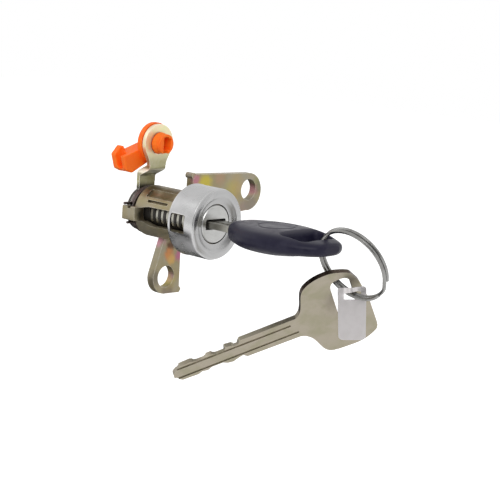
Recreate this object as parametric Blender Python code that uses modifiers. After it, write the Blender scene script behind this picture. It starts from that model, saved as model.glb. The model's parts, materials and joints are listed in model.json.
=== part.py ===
"""Car door lock cylinder with its key set.

Row frame in metres: +Z up, the lock faces -Y, the turning axis runs along Y through the origin,
and the origin lies in the plane of the ears' front faces.
Every lock piece is drawn in the lock frame, which is the row frame turned by LOCK_TURN:
local X is the row's X, local Y is the row's Z, and local Z points forward (row -Y).
"""
import math

import bmesh
import bpy
from mathutils import Matrix, Vector

MM = 0.001
LOCK_TURN = (math.pi / 2, 0.0, 0.0)

# clearances
FIT = 0.3 * MM            # free gap between neighbouring pieces
WELD = 0.00001            # distance under which doubled points are one point
SINK = 0.4 * MM           # how far joined shapes run into each other
ROUND_SEGMENTS = 56       # facets round a large turned piece
SMALL_SEGMENTS = 24       # facets round a pin or a small hole

# front cap
CAP_RADIUS = 12.5 * MM
CAP_WALL = 0.6 * MM
CAP_FRONT = 24.0 * MM
CAP_REAR = 12.0 * MM
CAP_OPENING_RADIUS = 7.05 * MM
CAP_WINDOW_FRONT = 19.8 * MM
CAP_WINDOW_REAR = 13.0 * MM
CAP_WINDOW_HALF_HEIGHT = 3.3 * MM

# plug and its bright face
PLUG_RADIUS = 6.2 * MM
PLUG_FRONT = 22.2 * MM
PLUG_SHOULDER = -9.0 * MM
JOURNAL_RADIUS = 5.0 * MM
FACE_PLATE = 0.5 * MM
FACE_FRONT = PLUG_FRONT + FIT + FACE_PLATE
FACE_RADIUS = CAP_OPENING_RADIUS - FIT
FACE_SLOT_LENGTH = 9.6 * MM
FACE_SLOT_HEIGHT = 3.5 * MM

# key blade and keyway
BLADE_WIDTH = 8.0 * MM
BLADE_THICKNESS = 2.2 * MM
BLADE_TIP = -4.4 * MM
KEYWAY_WIDTH = BLADE_WIDTH + 2 * FIT
KEYWAY_HEIGHT = BLADE_THICKNESS + 2 * FIT
KEYWAY_END = BLADE_TIP - 2 * FIT

# wafers, counted from the front
WAFER_COUNT = 8
WAFER_FIRST = 15.6 * MM
WAFER_PITCH = 2.6 * MM
WAFER_THICKNESS = 1.0 * MM
WAFER_HEIGHT = 5.6 * MM
WAFER_END_RADIUS = PLUG_RADIUS - 0.15 * MM
WAFER_EAR_REACH = 1.55 * MM
WAFER_EAR_WIDTH = 1.2 * MM
WAFER_SPRING_RADIUS = 0.45 * MM
WAFER_SPRING_WIRE = 0.13 * MM
WAFER_SPRING_TURNS = 5
SPRING_POCKET_HALF = 3.3 * MM
SPRING_POCKET_TOP = 4.7 * MM
# how deep the key is cut at each wafer
CUT_DEPTHS = (0.4 * MM, 1.2 * MM, 0.8 * MM, 0.4 * MM, 1.2 * MM, 0.8 * MM, 1.6 * MM, 1.2 * MM)
CUT_FLAT = 1.2 * MM

# dust shutter behind the face
SHUTTER_PIN_HEIGHT = 2.3 * MM
SHUTTER_PIN_FORWARD = 20.6 * MM
SHUTTER_PIN_RADIUS = 0.4 * MM
SHUTTER_PIN_LENGTH = 10.2 * MM
SHUTTER_KNUCKLE_RADIUS = 0.95 * MM
SHUTTER_PLATE = 0.4 * MM
SHUTTER_WIDTH = 8.2 * MM
SHUTTER_REAR = 17.5 * MM
SHUTTER_POCKET_REAR = 17.0 * MM
SHUTTER_POCKET_HALF = 4.5 * MM
SHUTTER_POCKET_TOP = 3.6 * MM
SHUTTER_SPRING_RADIUS = 0.87 * MM
SHUTTER_SPRING_WIRE = 0.17 * MM

# housing
BORE_RADIUS = PLUG_RADIUS + FIT
BARREL_RADIUS = 9.2 * MM
BARREL_REAR = -8.5 * MM
COLLAR_RADIUS = CAP_RADIUS - CAP_WALL - FIT
COLLAR_FRONT = 21.8 * MM
COLLAR_RIM_FRONT = 23.0 * MM
COLLAR_RIM_INNER = 10.0 * MM
BOSS_RADIUS = 7.3 * MM
BOSS_REAR = -11.9 * MM
EAR_THICKNESS = 3.0 * MM
EAR_HOLE_RADIUS = 4.0 * MM
RIGHT_HOLE = (41.1 * MM, 6.7 * MM)
LOWER_HOLE = (0.5 * MM, -22.9 * MM)
RIGHT_EAR_END = 7.1 * MM   # radius of the long ear's round end
RIGHT_END_DROP = 0.8 * MM  # that round sits this far below the hole's centre
LOWER_EAR_END = 6.3 * MM   # radius of the short ear's round corner
EAR_CORNER_BEAD = 1.1 * MM
BEAD_PLACE = (11.2 * MM, 13.1 * MM)
LUG_INNER = 9.3 * MM
LUG_OUTER = 10.9 * MM
LUG_TOP = 1.9 * MM
LUG_BOTTOM = -3.1 * MM
LUG_REAR = -12.9 * MM

# return spring
SPRING_RADIUS = 8.25 * MM
SPRING_WIRE = 0.5 * MM
SPRING_FRONT = -9.3 * MM
SPRING_REAR = -11.35 * MM

# lever
LEVER_FRONT = -12.2 * MM
LEVER_THICKNESS = 1.5 * MM
LEVER_DISC_RADIUS = 8.0 * MM
LEVER_ARM_HALF = 3.75 * MM
LEVER_NECK_HALF = 4.0 * MM
EYE_HEIGHT = 24.3 * MM
EYE_RADIUS = 6.8 * MM
EYE_FRONT = -7.3 * MM
EYE_HOLE_RADIUS = 3.9 * MM

# tail of the plug with washer and clip
TAIL_HALF = 3.1 * MM
TAIL_CORNER_RADIUS = 4.2 * MM
TAIL_REAR = -17.0 * MM
WASHER_THICKNESS = 0.6 * MM
WASHER_RADIUS = 6.6 * MM
CLIP_THICKNESS = 0.8 * MM
CLIP_RADIUS = 5.7 * MM
GROOVE_RADIUS = 2.7 * MM

# rod clip
PIN_RADIUS = EYE_HOLE_RADIUS - FIT
PIN_FRONT = -3.6 * MM
PIN_SLOT = 2.4 * MM
FLANGE_RADIUS = 7.2 * MM
FLANGE_THICKNESS = 2.0 * MM
JOGGLE_CLEARANCE = 1.5 * MM   # the lever's joggle stays this far below the clip's flange
JOGGLE_RISE = 2.6 * MM
JOGGLE_HIGH = EYE_HEIGHT - FLANGE_RADIUS - JOGGLE_CLEARANCE
JOGGLE_LOW = JOGGLE_HIGH - JOGGLE_RISE
CLIP_ARM_DROP = math.radians(17.0)
CLIP_ARM_LENGTH = 14.4 * MM
CLIP_ARM_HALF = 3.8 * MM
CLIP_ARM_OFFSET = -3.7 * MM
CLIP_ARM_REAR = -17.6 * MM
ROD_RADIUS = 1.6 * MM

# main key head
HEAD_ROOT = 33.6 * MM
TANG_END = 50.0 * MM
HEAD_SLOT_NEAR = 60.0 * MM
HEAD_SLOT_FAR = 69.8 * MM
HEAD_SLOT_HALF = 10.4 * MM
HEAD_SLOT_TAPER = 2.4 * MM
# distance from the root, half width and half thickness of the head's sections
HEAD_SECTIONS = (
    (0.0 * MM, 5.6 * MM, 2.6 * MM),
    (0.8 * MM, 6.0 * MM, 3.2 * MM),
    (3.0 * MM, 8.0 * MM, 3.7 * MM),
    (6.5 * MM, 10.4 * MM, 4.0 * MM),
    (12.0 * MM, 13.4 * MM, 4.3 * MM),
    (18.0 * MM, 14.8 * MM, 4.35 * MM),
    (24.0 * MM, 14.5 * MM, 4.2 * MM),
    (30.0 * MM, 13.0 * MM, 3.7 * MM),
    (35.5 * MM, 10.4 * MM, 2.8 * MM),
    (38.6 * MM, 8.2 * MM, 2.4 * MM),
    (40.4 * MM, 6.2 * MM, 2.0 * MM),
    (41.3 * MM, 4.2 * MM, 1.4 * MM),
)
HEAD_SECTION_POINTS = 24
HEAD_SQUARENESS = 0.55
EMBLEM_ACROSS = 16.0 * MM
EMBLEM_ALONG = 13.0 * MM
EMBLEM_FORWARD = 51.0 * MM
EMBLEM_FLOOR = 3.9 * MM

# key ring, in row axes
RING_RADIUS = 12.9 * MM
RING_WIRE = 0.65 * MM
RING_PITCH = 1.38 * MM
RING_SPLIT = 162.0  # degrees round the ring where its ends meet the crossing strand
RING_CROSSING = 26.0  # degrees in which the wire crosses from one turn's side to the other's
RING_END_GAP = 3.0  # degrees
RING_STEP = 7.5  # degrees between the wire's points
RING_CENTRE = Vector((7.8, -77.9, -4.7)) * MM
RING_NORMAL = Vector((-0.893, 0.0, -0.45)).normalized()
RING_PIVOT = Vector((6.0, -72.0, 0.0)) * MM

# tag, hung on the ring
TAG_WIDTH = 9.2 * MM
TAG_HEIGHT = 18.0 * MM
TAG_THICKNESS = 0.6 * MM
TAG_SLOT_LENGTH = 6.4 * MM
TAG_SLOT_HEIGHT = 3.4 * MM
TAG_SLOT_DROP = 3.6 * MM
TAG_PIVOT = Vector((13.3, -74.1, -16.0)) * MM
TAG_ACROSS = Vector((0.70, -0.71, 0.066)).normalized()
TAG_UP = Vector((-0.066, 0.147, 0.99)).normalized()

# spare key: where the ring holds it, its long axis and the way across its bow
SPARE_PIVOT = Vector((12.0, -69.8, -13.1)) * MM
SPARE_ALONG = Vector((0.677, -0.605, 0.419)).normalized()
SPARE_ACROSS = Vector((-0.565, -0.0625, 0.8226)).normalized()
SPARE_THICKNESS = 2.1 * MM
SPARE_BLADE_HALF = 3.5 * MM
SPARE_BLADE_DROP = 0.7 * MM   # the blade's middle below the bow's middle
SPARE_TIP = -62.5 * MM
SPARE_BOW_NEAR = -14.5 * MM
SPARE_BOW_FAR = 7.3 * MM
SPARE_BOW_HALF = 15.7 * MM
SPARE_SLOT_HALF = 12.6 * MM
# how far the ring sits below the top of the bow's slot
SPARE_HANG = 2.7 * MM
SPARE_SLOT_WIDTH = 7.1 * MM


def collection(name):
    group = bpy.data.collections.new(name)
    bpy.context.scene.collection.children.link(group)
    return group


def material(name, colour, metallic, roughness):
    mat = bpy.data.materials.new(name)
    mat.use_nodes = True
    shader = mat.node_tree.nodes["Principled BSDF"]
    shader.inputs["Base Color"].default_value = (*colour, 1.0)
    shader.inputs["Metallic"].default_value = metallic
    shader.inputs["Roughness"].default_value = roughness
    return mat


def smooth(mesh):
    mesh.shade_smooth()
    mesh.set_sharp_from_angle(angle=math.radians(32))


def place(name, mesh, group, turn=LOCK_TURN):
    obj = bpy.data.objects.new(name, mesh)
    obj.rotation_euler = turn
    group.objects.link(obj)
    return obj


def as_cutter(obj):
    obj.hide_render = True
    obj.display_type = "WIRE"
    return obj


def box(name, x_range, y_range, z_range, group):
    low = Vector((x_range[0], y_range[0], z_range[0]))
    high = Vector((x_range[1], y_range[1], z_range[1]))
    bm = bmesh.new()
    bmesh.ops.create_cube(bm, size=1.0)
    size = high - low
    bmesh.ops.scale(bm, vec=size, verts=bm.verts)
    bmesh.ops.translate(bm, vec=(low + high) / 2, verts=bm.verts)
    mesh = bpy.data.meshes.new(name)
    bm.to_mesh(mesh)
    bm.free()
    return place(name, mesh, group)


def rod(name, radius, z_range, group, centre=(0.0, 0.0), segments=SMALL_SEGMENTS, axis="Z", end_radius=None):
    """Round bar along one local axis; centre is the two other coordinates."""
    bm = bmesh.new()
    far = radius if end_radius is None else end_radius
    length = z_range[1] - z_range[0]
    bmesh.ops.create_cone(bm, cap_ends=True, segments=segments, radius1=radius, radius2=far, depth=length)
    middle = (z_range[0] + z_range[1]) / 2
    if axis == "X":
        bmesh.ops.rotate(bm, matrix=Matrix.Rotation(math.pi / 2, 3, "Y"), verts=bm.verts)
        offset = (middle, centre[0], centre[1])
    else:
        offset = (centre[0], centre[1], middle)
    bmesh.ops.translate(bm, vec=offset, verts=bm.verts)
    mesh = bpy.data.meshes.new(name)
    bm.to_mesh(mesh)
    bm.free()
    smooth(mesh)
    return place(name, mesh, group)


def turned(name, profile, group, segments=ROUND_SEGMENTS, closed=True):
    """Turn a (radius, forward) profile about the lock axis; it runs down its outer side."""
    mesh = bpy.data.meshes.new(name)
    points = [(radius, 0.0, forward) for radius, forward in profile]
    edges = [(i, i + 1) for i in range(len(points) - 1)]
    if closed:
        edges.append((len(points) - 1, 0))
    mesh.from_pydata(points, edges, [])
    obj = place(name, mesh, group)
    screw = obj.modifiers.new("Turn", "SCREW")
    screw.axis = "Z"
    screw.angle = math.tau
    screw.steps = segments
    screw.render_steps = segments
    screw.use_merge_vertices = True
    screw.merge_threshold = WELD
    screw.use_smooth_shade = True
    return obj


def arc(centre, radius, start, end, steps):
    """Points on an arc, angles in degrees."""
    points = []
    for i in range(steps + 1):
        angle = math.radians(start + (end - start) * i / steps)
        points.append((centre[0] + radius * math.cos(angle), centre[1] + radius * math.sin(angle)))
    return points


def rounded(corners, steps=5):
    """Outline from (x, y, corner radius) with each corner rounded."""
    points = []
    count = len(corners)
    for i, (x, y, radius) in enumerate(corners):
        here = Vector((x, y))
        if radius <= 0.0:
            points.append((x, y))
            continue
        before = Vector(corners[i - 1][:2]) - here
        after = Vector(corners[(i + 1) % count][:2]) - here
        half = before.angle(after) / 2
        reach = min(radius / math.tan(half), 0.49 * before.length, 0.49 * after.length)
        start = here + before.normalized() * reach
        end = here + after.normalized() * reach
        for k in range(steps + 1):
            t = k / steps
            point = start * (1 - t) ** 2 + here * 2 * t * (1 - t) + end * t ** 2
            points.append((point.x, point.y))
    return points


def plate(name, outline, z_range, group, turn=LOCK_TURN):
    """Flat piece: a filled 2D curve given thickness, then turned into a welded mesh."""
    curve = bpy.data.curves.new(name, "CURVE")
    curve.dimensions = "2D"
    curve.fill_mode = "BOTH"
    curve.extrude = (z_range[1] - z_range[0]) / 2
    spline = curve.splines.new("POLY")
    spline.points.add(len(outline) - 1)
    for point, (x, y) in zip(spline.points, outline):
        point.co = (x, y, 0.0, 1.0)
    spline.use_cyclic_u = True
    guide = bpy.data.objects.new(name + "_outline", curve)
    group.objects.link(guide)
    mesh = evaluated_mesh(guide, name)
    mesh.transform(Matrix.Translation((0.0, 0.0, (z_range[0] + z_range[1]) / 2)))
    return place(name, mesh, group, turn)


def evaluated_mesh(guide, name):
    """Mesh of a curve object, its caps welded; the curve is removed."""
    bpy.context.view_layer.update()
    graph = bpy.context.evaluated_depsgraph_get()
    mesh = bpy.data.meshes.new_from_object(guide.evaluated_get(graph))
    mesh.name = name
    bm = bmesh.new()
    bm.from_mesh(mesh)
    bmesh.ops.remove_doubles(bm, verts=bm.verts, dist=WELD)
    bmesh.ops.recalc_face_normals(bm, faces=bm.faces)
    bm.to_mesh(mesh)
    bm.free()
    data = guide.data
    bpy.data.objects.remove(guide)
    bpy.data.curves.remove(data)
    return mesh


def wire(name, points, radius, group, turn=LOCK_TURN, sides=2):
    """Round wire through points, with closed ends."""
    curve = bpy.data.curves.new(name, "CURVE")
    curve.dimensions = "3D"
    curve.bevel_depth = radius
    curve.bevel_resolution = sides
    curve.use_fill_caps = True
    spline = curve.splines.new("POLY")
    spline.points.add(len(points) - 1)
    for point, place_at in zip(spline.points, points):
        point.co = (*place_at, 1.0)
    guide = bpy.data.objects.new(name + "_path", curve)
    group.objects.link(guide)
    mesh = evaluated_mesh(guide, name)
    smooth(mesh)
    return place(name, mesh, group, turn)


def boolean(target, other, operation):
    step = target.modifiers.new(other.name, "BOOLEAN")
    step.operation = operation
    step.solver = "EXACT"
    step.object = other
    as_cutter(other)


def cut(target, *others):
    for other in others:
        boolean(target, other, "DIFFERENCE")


def join(target, *others):
    for other in others:
        boolean(target, other, "UNION")


def bevel(obj, width, segments=2, angle=40.0):
    step = obj.modifiers.new("Edges", "BEVEL")
    step.width = width
    step.segments = segments
    step.limit_method = "ANGLE"
    step.angle_limit = math.radians(angle)
    step.use_clamp_overlap = True
    return step


def finish(obj, mat):
    obj.data.materials.clear()
    obj.data.materials.append(mat)
    return obj


def wafer_forward(index):
    return WAFER_FIRST - WAFER_PITCH * index


def wafer_side(index):
    """Wafers face alternate ways across the plug."""
    return 1.0 if index % 2 == 0 else -1.0


def cap_profile():
    wall_inner = CAP_RADIUS - CAP_WALL
    return [
        (CAP_OPENING_RADIUS, CAP_FRONT - 1.25 * MM),
        (7.6 * MM, CAP_FRONT - 1.15 * MM),
        (8.3 * MM, CAP_FRONT - 0.92 * MM),
        (8.9 * MM, CAP_FRONT - 0.6 * MM),
        (9.35 * MM, CAP_FRONT - 0.2 * MM),
        (9.8 * MM, CAP_FRONT),
        (11.3 * MM, CAP_FRONT),
        (11.9 * MM, CAP_FRONT - 0.15 * MM),
        (12.3 * MM, CAP_FRONT - 0.5 * MM),
        (CAP_RADIUS, CAP_FRONT - 1.1 * MM),
        (CAP_RADIUS, CAP_REAR + 0.9 * MM),
        (CAP_RADIUS + 0.15 * MM, CAP_REAR + 0.6 * MM),
        (CAP_RADIUS + 0.15 * MM, CAP_REAR + 0.2 * MM),
        (CAP_RADIUS - 0.1 * MM, CAP_REAR),
        (wall_inner, CAP_REAR),
        (wall_inner, CAP_FRONT - 1.25 * MM),
        (11.7 * MM, CAP_FRONT - 0.8 * MM),
        (11.2 * MM, CAP_FRONT - CAP_WALL),
        (9.9 * MM, CAP_FRONT - CAP_WALL),
        (9.4 * MM, CAP_FRONT - 1.05 * MM),
        (8.6 * MM, CAP_FRONT - 1.5 * MM),
        (7.7 * MM, CAP_FRONT - 1.78 * MM),
        (CAP_OPENING_RADIUS, CAP_FRONT - 1.85 * MM),
    ]


def build_cap(parts, cutters, mat):
    cap = turned("face_cap", cap_profile(), parts, segments=72)
    half = CAP_WINDOW_HALF_HEIGHT
    corner = 0.8 * MM
    outline = rounded([
        (CAP_WINDOW_REAR, -half, corner), (CAP_WINDOW_FRONT, -half, corner),
        (CAP_WINDOW_FRONT, half, corner), (CAP_WINDOW_REAR, half, corner)], steps=4)
    window = side_cutter("cap_window", outline, (-CAP_RADIUS - 2 * MM, -CAP_RADIUS + 5 * MM), cutters)
    cut(cap, window)
    return finish(cap, mat)


def side_cutter(name, outline, x_range, group):
    """Prism along local X from an outline of (forward, height) points."""
    points = [(-forward, height) for forward, height in outline]
    obj = plate(name, points, x_range, group)
    # the outline's first axis becomes -Z and its normal becomes X
    obj.data.transform(Matrix.Rotation(math.pi / 2, 4, "Y"))
    return obj


def ear_outline():
    """Both ears as one plate, a long one to the right and a short one below, each with a round end."""
    long_end = (RIGHT_HOLE[0], RIGHT_HOLE[1] - RIGHT_END_DROP)
    foot = LOWER_HOLE[1] - LOWER_EAR_END
    bead_x, bead_y = BEAD_PLACE
    start = [(3.0 * MM, 5.0 * MM, 0.0), (bead_x - 0.3 * MM, 8.0 * MM, 0.5 * MM)]
    start.append((bead_x - 0.3 * MM, bead_y + 0.5 * MM, 0.8 * MM))
    between = [
        (30.0 * MM, -2.2 * MM, 3.0 * MM), (12.0 * MM, -5.0 * MM, 6.0 * MM), (7.0 * MM, -12.0 * MM, 3.0 * MM),
        (7.5 * MM, foot + 2.3 * MM, 0.4 * MM), (8.5 * MM, foot + 1.1 * MM, 0.4 * MM),
        (7.7 * MM, foot - 0.1 * MM, 0.6 * MM)]
    end = [(-1.5 * MM, -9.0 * MM, 2.0 * MM), (-1.0 * MM, -5.0 * MM, 0.0)]
    right = [(x, y, 0.0) for x, y in arc(long_end, RIGHT_EAR_END, 93.0, -98.0, 16)]
    lower = [(x, y, 0.0) for x, y in arc(LOWER_HOLE, LOWER_EAR_END, -96.0, -188.0, 8)]
    return rounded(start + right + between + lower + end)


def build_housing(parts, cutters, mat):
    housing = turned("housing", [
        (0.0, COLLAR_FRONT),
        (COLLAR_RIM_INNER, COLLAR_FRONT),
        (COLLAR_RIM_INNER, COLLAR_RIM_FRONT - 0.3 * MM),
        (COLLAR_RIM_INNER + 0.3 * MM, COLLAR_RIM_FRONT),
        (COLLAR_RADIUS - 0.5 * MM, COLLAR_RIM_FRONT),
        (COLLAR_RADIUS, COLLAR_RIM_FRONT - 0.8 * MM),
        (COLLAR_RADIUS, CAP_REAR - 0.4 * MM),
        (BARREL_RADIUS, CAP_REAR - 2.4 * MM),
        (BARREL_RADIUS, BARREL_REAR + 0.4 * MM),
        (BARREL_RADIUS - 0.4 * MM, BARREL_REAR),
        (BOSS_RADIUS, BARREL_REAR),
        (BOSS_RADIUS, BOSS_REAR + 0.3 * MM),
        (BOSS_RADIUS - 0.3 * MM, BOSS_REAR),
        (0.0, BOSS_REAR),
    ], parts, segments=64, closed=False)
    ears = plate("ear_plate", ear_outline(), (-EAR_THICKNESS, 0.0), cutters)
    bead = rod("ear_corner_bead", EAR_CORNER_BEAD, (-EAR_THICKNESS - 0.2 * MM, 0.25 * MM), cutters,
               centre=BEAD_PLACE)
    lug = box("stop_lug", (-LUG_OUTER, -8.0 * MM), (LUG_BOTTOM, LUG_TOP), (LUG_REAR, -6.4 * MM), cutters)
    bevel(lug, 0.35 * MM)
    lug_relief = box("lug_relief", (-LUG_INNER, -7.0 * MM), (LUG_BOTTOM - MM, LUG_TOP + MM),
                     (LUG_REAR - MM, BARREL_REAR), cutters)
    cut(lug, lug_relief)
    notch = box("lug_notch", (-LUG_OUTER - MM, -LUG_INNER + MM), (LUG_TOP - 0.7 * MM, LUG_TOP + MM),
                (BARREL_REAR - 1.6 * MM, BARREL_REAR - 0.1 * MM), cutters)
    join(housing, ears, bead, lug)

    bore = turned("bore", [
        (0.0, COLLAR_FRONT + 3 * MM), (BORE_RADIUS, COLLAR_FRONT + 3 * MM),
        (BORE_RADIUS, PLUG_SHOULDER - FIT), (JOURNAL_RADIUS + FIT, PLUG_SHOULDER - FIT),
        (JOURNAL_RADIUS + FIT, BOSS_REAR - 3 * MM), (0.0, BOSS_REAR - 3 * MM)],
        cutters, closed=False)
    window_outline = rounded([
        (CAP_WINDOW_FRONT, -3.7 * MM, 0.5 * MM), (CAP_WINDOW_FRONT, 3.0 * MM, 0.5 * MM),
        (-1.6 * MM, 2.7 * MM, 0.0), (-6.4 * MM, 1.7 * MM, 0.3 * MM),
        (-6.4 * MM, -3.1 * MM, 0.3 * MM), (-4.6 * MM, -2.9 * MM, 0.3 * MM),
        (-1.0 * MM, -4.0 * MM, 0.3 * MM)], steps=3)
    window = side_cutter("housing_window", window_outline, (-14.0 * MM, -5.0 * MM), cutters)
    through = (-2 * EAR_THICKNESS, EAR_THICKNESS)
    right_hole = rod("right_ear_hole", EAR_HOLE_RADIUS, through, cutters, centre=RIGHT_HOLE, segments=40)
    lower_hole = rod("lower_ear_hole", EAR_HOLE_RADIUS, through, cutters, centre=LOWER_HOLE, segments=40)
    trough_radius = 3.2 * MM
    trough_depth = 0.9 * MM
    trough_reach = BARREL_RADIUS + trough_radius - trough_depth
    trough_angle = math.radians(128.0)
    trough = rod("top_trough", trough_radius, (-5.0 * MM, 8.6 * MM), cutters,
                 centre=(trough_reach * math.cos(trough_angle), trough_reach * math.sin(trough_angle)))
    slit_angle = math.radians(150.0)
    slit = box("side_slit", (BARREL_RADIUS - 1.0 * MM, BARREL_RADIUS + 2 * MM), (-0.5 * MM, 0.5 * MM),
               (-3.0 * MM, 6.8 * MM), cutters)
    slit.data.transform(Matrix.Rotation(slit_angle, 4, "Z"))
    cut(housing, bore, window, right_hole, lower_hole, trough, slit, notch)
    return finish(housing, mat)


def build_plug(parts, cutters, mat):
    plug = turned("plug", [
        (0.0, PLUG_FRONT), (PLUG_RADIUS - 0.2 * MM, PLUG_FRONT), (PLUG_RADIUS, PLUG_FRONT - 0.2 * MM),
        (PLUG_RADIUS, PLUG_SHOULDER), (JOURNAL_RADIUS, PLUG_SHOULDER), (JOURNAL_RADIUS, BOSS_REAR),
        (TAIL_CORNER_RADIUS, BOSS_REAR), (TAIL_CORNER_RADIUS, TAIL_REAR + 0.3 * MM),
        (TAIL_CORNER_RADIUS - 0.3 * MM, TAIL_REAR), (0.0, TAIL_REAR)],
        parts, closed=False)
    reach = 8 * MM
    for i, turn in enumerate((0, 90, 180, 270)):
        flat = box("tail_flat_%d" % (i + 1), (TAIL_HALF, reach), (-reach, reach),
                   (TAIL_REAR - MM, BOSS_REAR - 0.01 * MM), cutters)
        flat.data.transform(Matrix.Rotation(math.radians(turn), 4, "Z"))
        cut(plug, flat)
    clip_front, clip_rear = clip_range()
    groove = turned("clip_groove", [
        (reach, clip_front + FIT), (reach, clip_rear - FIT),
        (GROOVE_RADIUS, clip_rear - FIT), (GROOVE_RADIUS, clip_front + FIT)], cutters, segments=32)
    keyway = box("keyway", (-KEYWAY_WIDTH / 2, KEYWAY_WIDTH / 2), (-KEYWAY_HEIGHT / 2, KEYWAY_HEIGHT / 2),
                 (KEYWAY_END, PLUG_FRONT + MM), cutters)
    pocket_width = (-SHUTTER_POCKET_HALF, SHUTTER_POCKET_HALF)
    pocket = box("shutter_pocket", pocket_width, (0.5 * MM, SHUTTER_POCKET_TOP),
                 (SHUTTER_POCKET_REAR, PLUG_FRONT + MM), cutters)
    pin_reach = SHUTTER_PIN_LENGTH / 2 + FIT
    pin_hole = rod("shutter_pin_hole", SHUTTER_PIN_RADIUS + FIT, (-pin_reach, pin_reach), cutters,
                   centre=(SHUTTER_PIN_HEIGHT, SHUTTER_PIN_FORWARD), segments=16, axis="X")
    cut(plug, groove, keyway, pocket, pin_hole)
    for i in range(WAFER_COUNT):
        middle = wafer_forward(i)
        half = WAFER_THICKNESS / 2 + FIT
        span = (middle - half, middle + half)
        slot_half = WAFER_HEIGHT / 2 + FIT
        slot = box("wafer_slot_%d" % (i + 1), (-reach, reach), (-slot_half, slot_half), span, cutters)
        spring_pocket = box("spring_pocket_%d" % (i + 1), (-SPRING_POCKET_HALF, SPRING_POCKET_HALF),
                            (0.0, SPRING_POCKET_TOP), span, cutters)
        if wafer_side(i) < 0:
            spring_pocket.data.transform(Matrix.Rotation(math.pi, 4, "Z"))
        cut(plug, slot, spring_pocket)
    return finish(plug, mat)


def build_plug_face(parts, cutters, mat):
    skirt_inner = PLUG_RADIUS + FIT
    under = FACE_FRONT - FACE_PLATE
    face = turned("plug_face", [
        (0.0, FACE_FRONT), (FACE_RADIUS - 0.35 * MM, FACE_FRONT), (FACE_RADIUS, FACE_FRONT - 0.35 * MM),
        (FACE_RADIUS, COLLAR_FRONT + FIT), (skirt_inner, COLLAR_FRONT + FIT), (skirt_inner, under),
        (0.0, under)], parts, closed=False)
    half_x = FACE_SLOT_LENGTH / 2
    half_y = FACE_SLOT_HEIGHT / 2
    corner = 0.6 * MM
    slot = plate("face_slot", rounded([
        (-half_x, -half_y, corner), (half_x, -half_y, corner), (half_x, half_y, corner),
        (-half_x, half_y, corner)]), (under - MM, FACE_FRONT + MM), cutters)
    cut(face, slot)
    return finish(face, mat)


def build_wafers(parts, mats):
    """Each wafer frames the key blade and carries an ear that its spring pushes."""
    half = WAFER_HEIGHT / 2
    start = math.degrees(math.asin(half / WAFER_END_RADIUS))
    ear_near = SPRING_POCKET_HALF - FIT - WAFER_EAR_WIDTH
    ear_far = SPRING_POCKET_HALF - FIT
    outline = arc((0.0, 0.0), WAFER_END_RADIUS, -start, start, 8)
    outline += [(ear_far, half), (ear_far, half + WAFER_EAR_REACH), (ear_near, half + WAFER_EAR_REACH),
                (ear_near, half)]
    outline += arc((0.0, 0.0), WAFER_END_RADIUS, 180 - start, 180 + start, 8)
    half_window_x = KEYWAY_WIDTH / 2 + 0.1 * MM
    half_window_y = KEYWAY_HEIGHT / 2
    for i in range(WAFER_COUNT):
        middle = wafer_forward(i)
        span = (middle - WAFER_THICKNESS / 2, middle + WAFER_THICKNESS / 2)
        name = "wafer_%d" % (i + 1)
        wafer = plate(name, outline, span, parts[0])
        opening = box(name + "_window", (-half_window_x, half_window_x), (-half_window_y, half_window_y),
                      (span[0] - MM, span[1] + MM), parts[1])
        if wafer_side(i) < 0:
            wafer.data.transform(Matrix.Rotation(math.pi, 4, "Z"))
        cut(wafer, opening)
        finish(wafer, mats[0])

        side = wafer_side(i)
        height = half + FIT + WAFER_SPRING_RADIUS + WAFER_SPRING_WIRE + 0.12 * MM
        begin = -SPRING_POCKET_HALF + FIT + WAFER_SPRING_WIRE
        finish_at = ear_near - FIT - WAFER_SPRING_WIRE
        points = coil_points(WAFER_SPRING_RADIUS, begin, finish_at, WAFER_SPRING_TURNS, 8)
        placed = [(side * along, side * (height + across), middle + out) for across, out, along in points]
        finish(wire("wafer_spring_%d" % (i + 1), placed, WAFER_SPRING_WIRE, parts[0], sides=0), mats[1])


def coil_points(radius, start, end, turns, steps_per_turn, start_angle=0.0):
    """Helix about local Z from start to end; angles in degrees."""
    count = max(2, int(round(abs(turns) * steps_per_turn)))
    points = []
    for i in range(count + 1):
        t = i / count
        angle = math.radians(start_angle) + math.tau * turns * t
        points.append((radius * math.cos(angle), radius * math.sin(angle), start + (end - start) * t))
    return points


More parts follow.
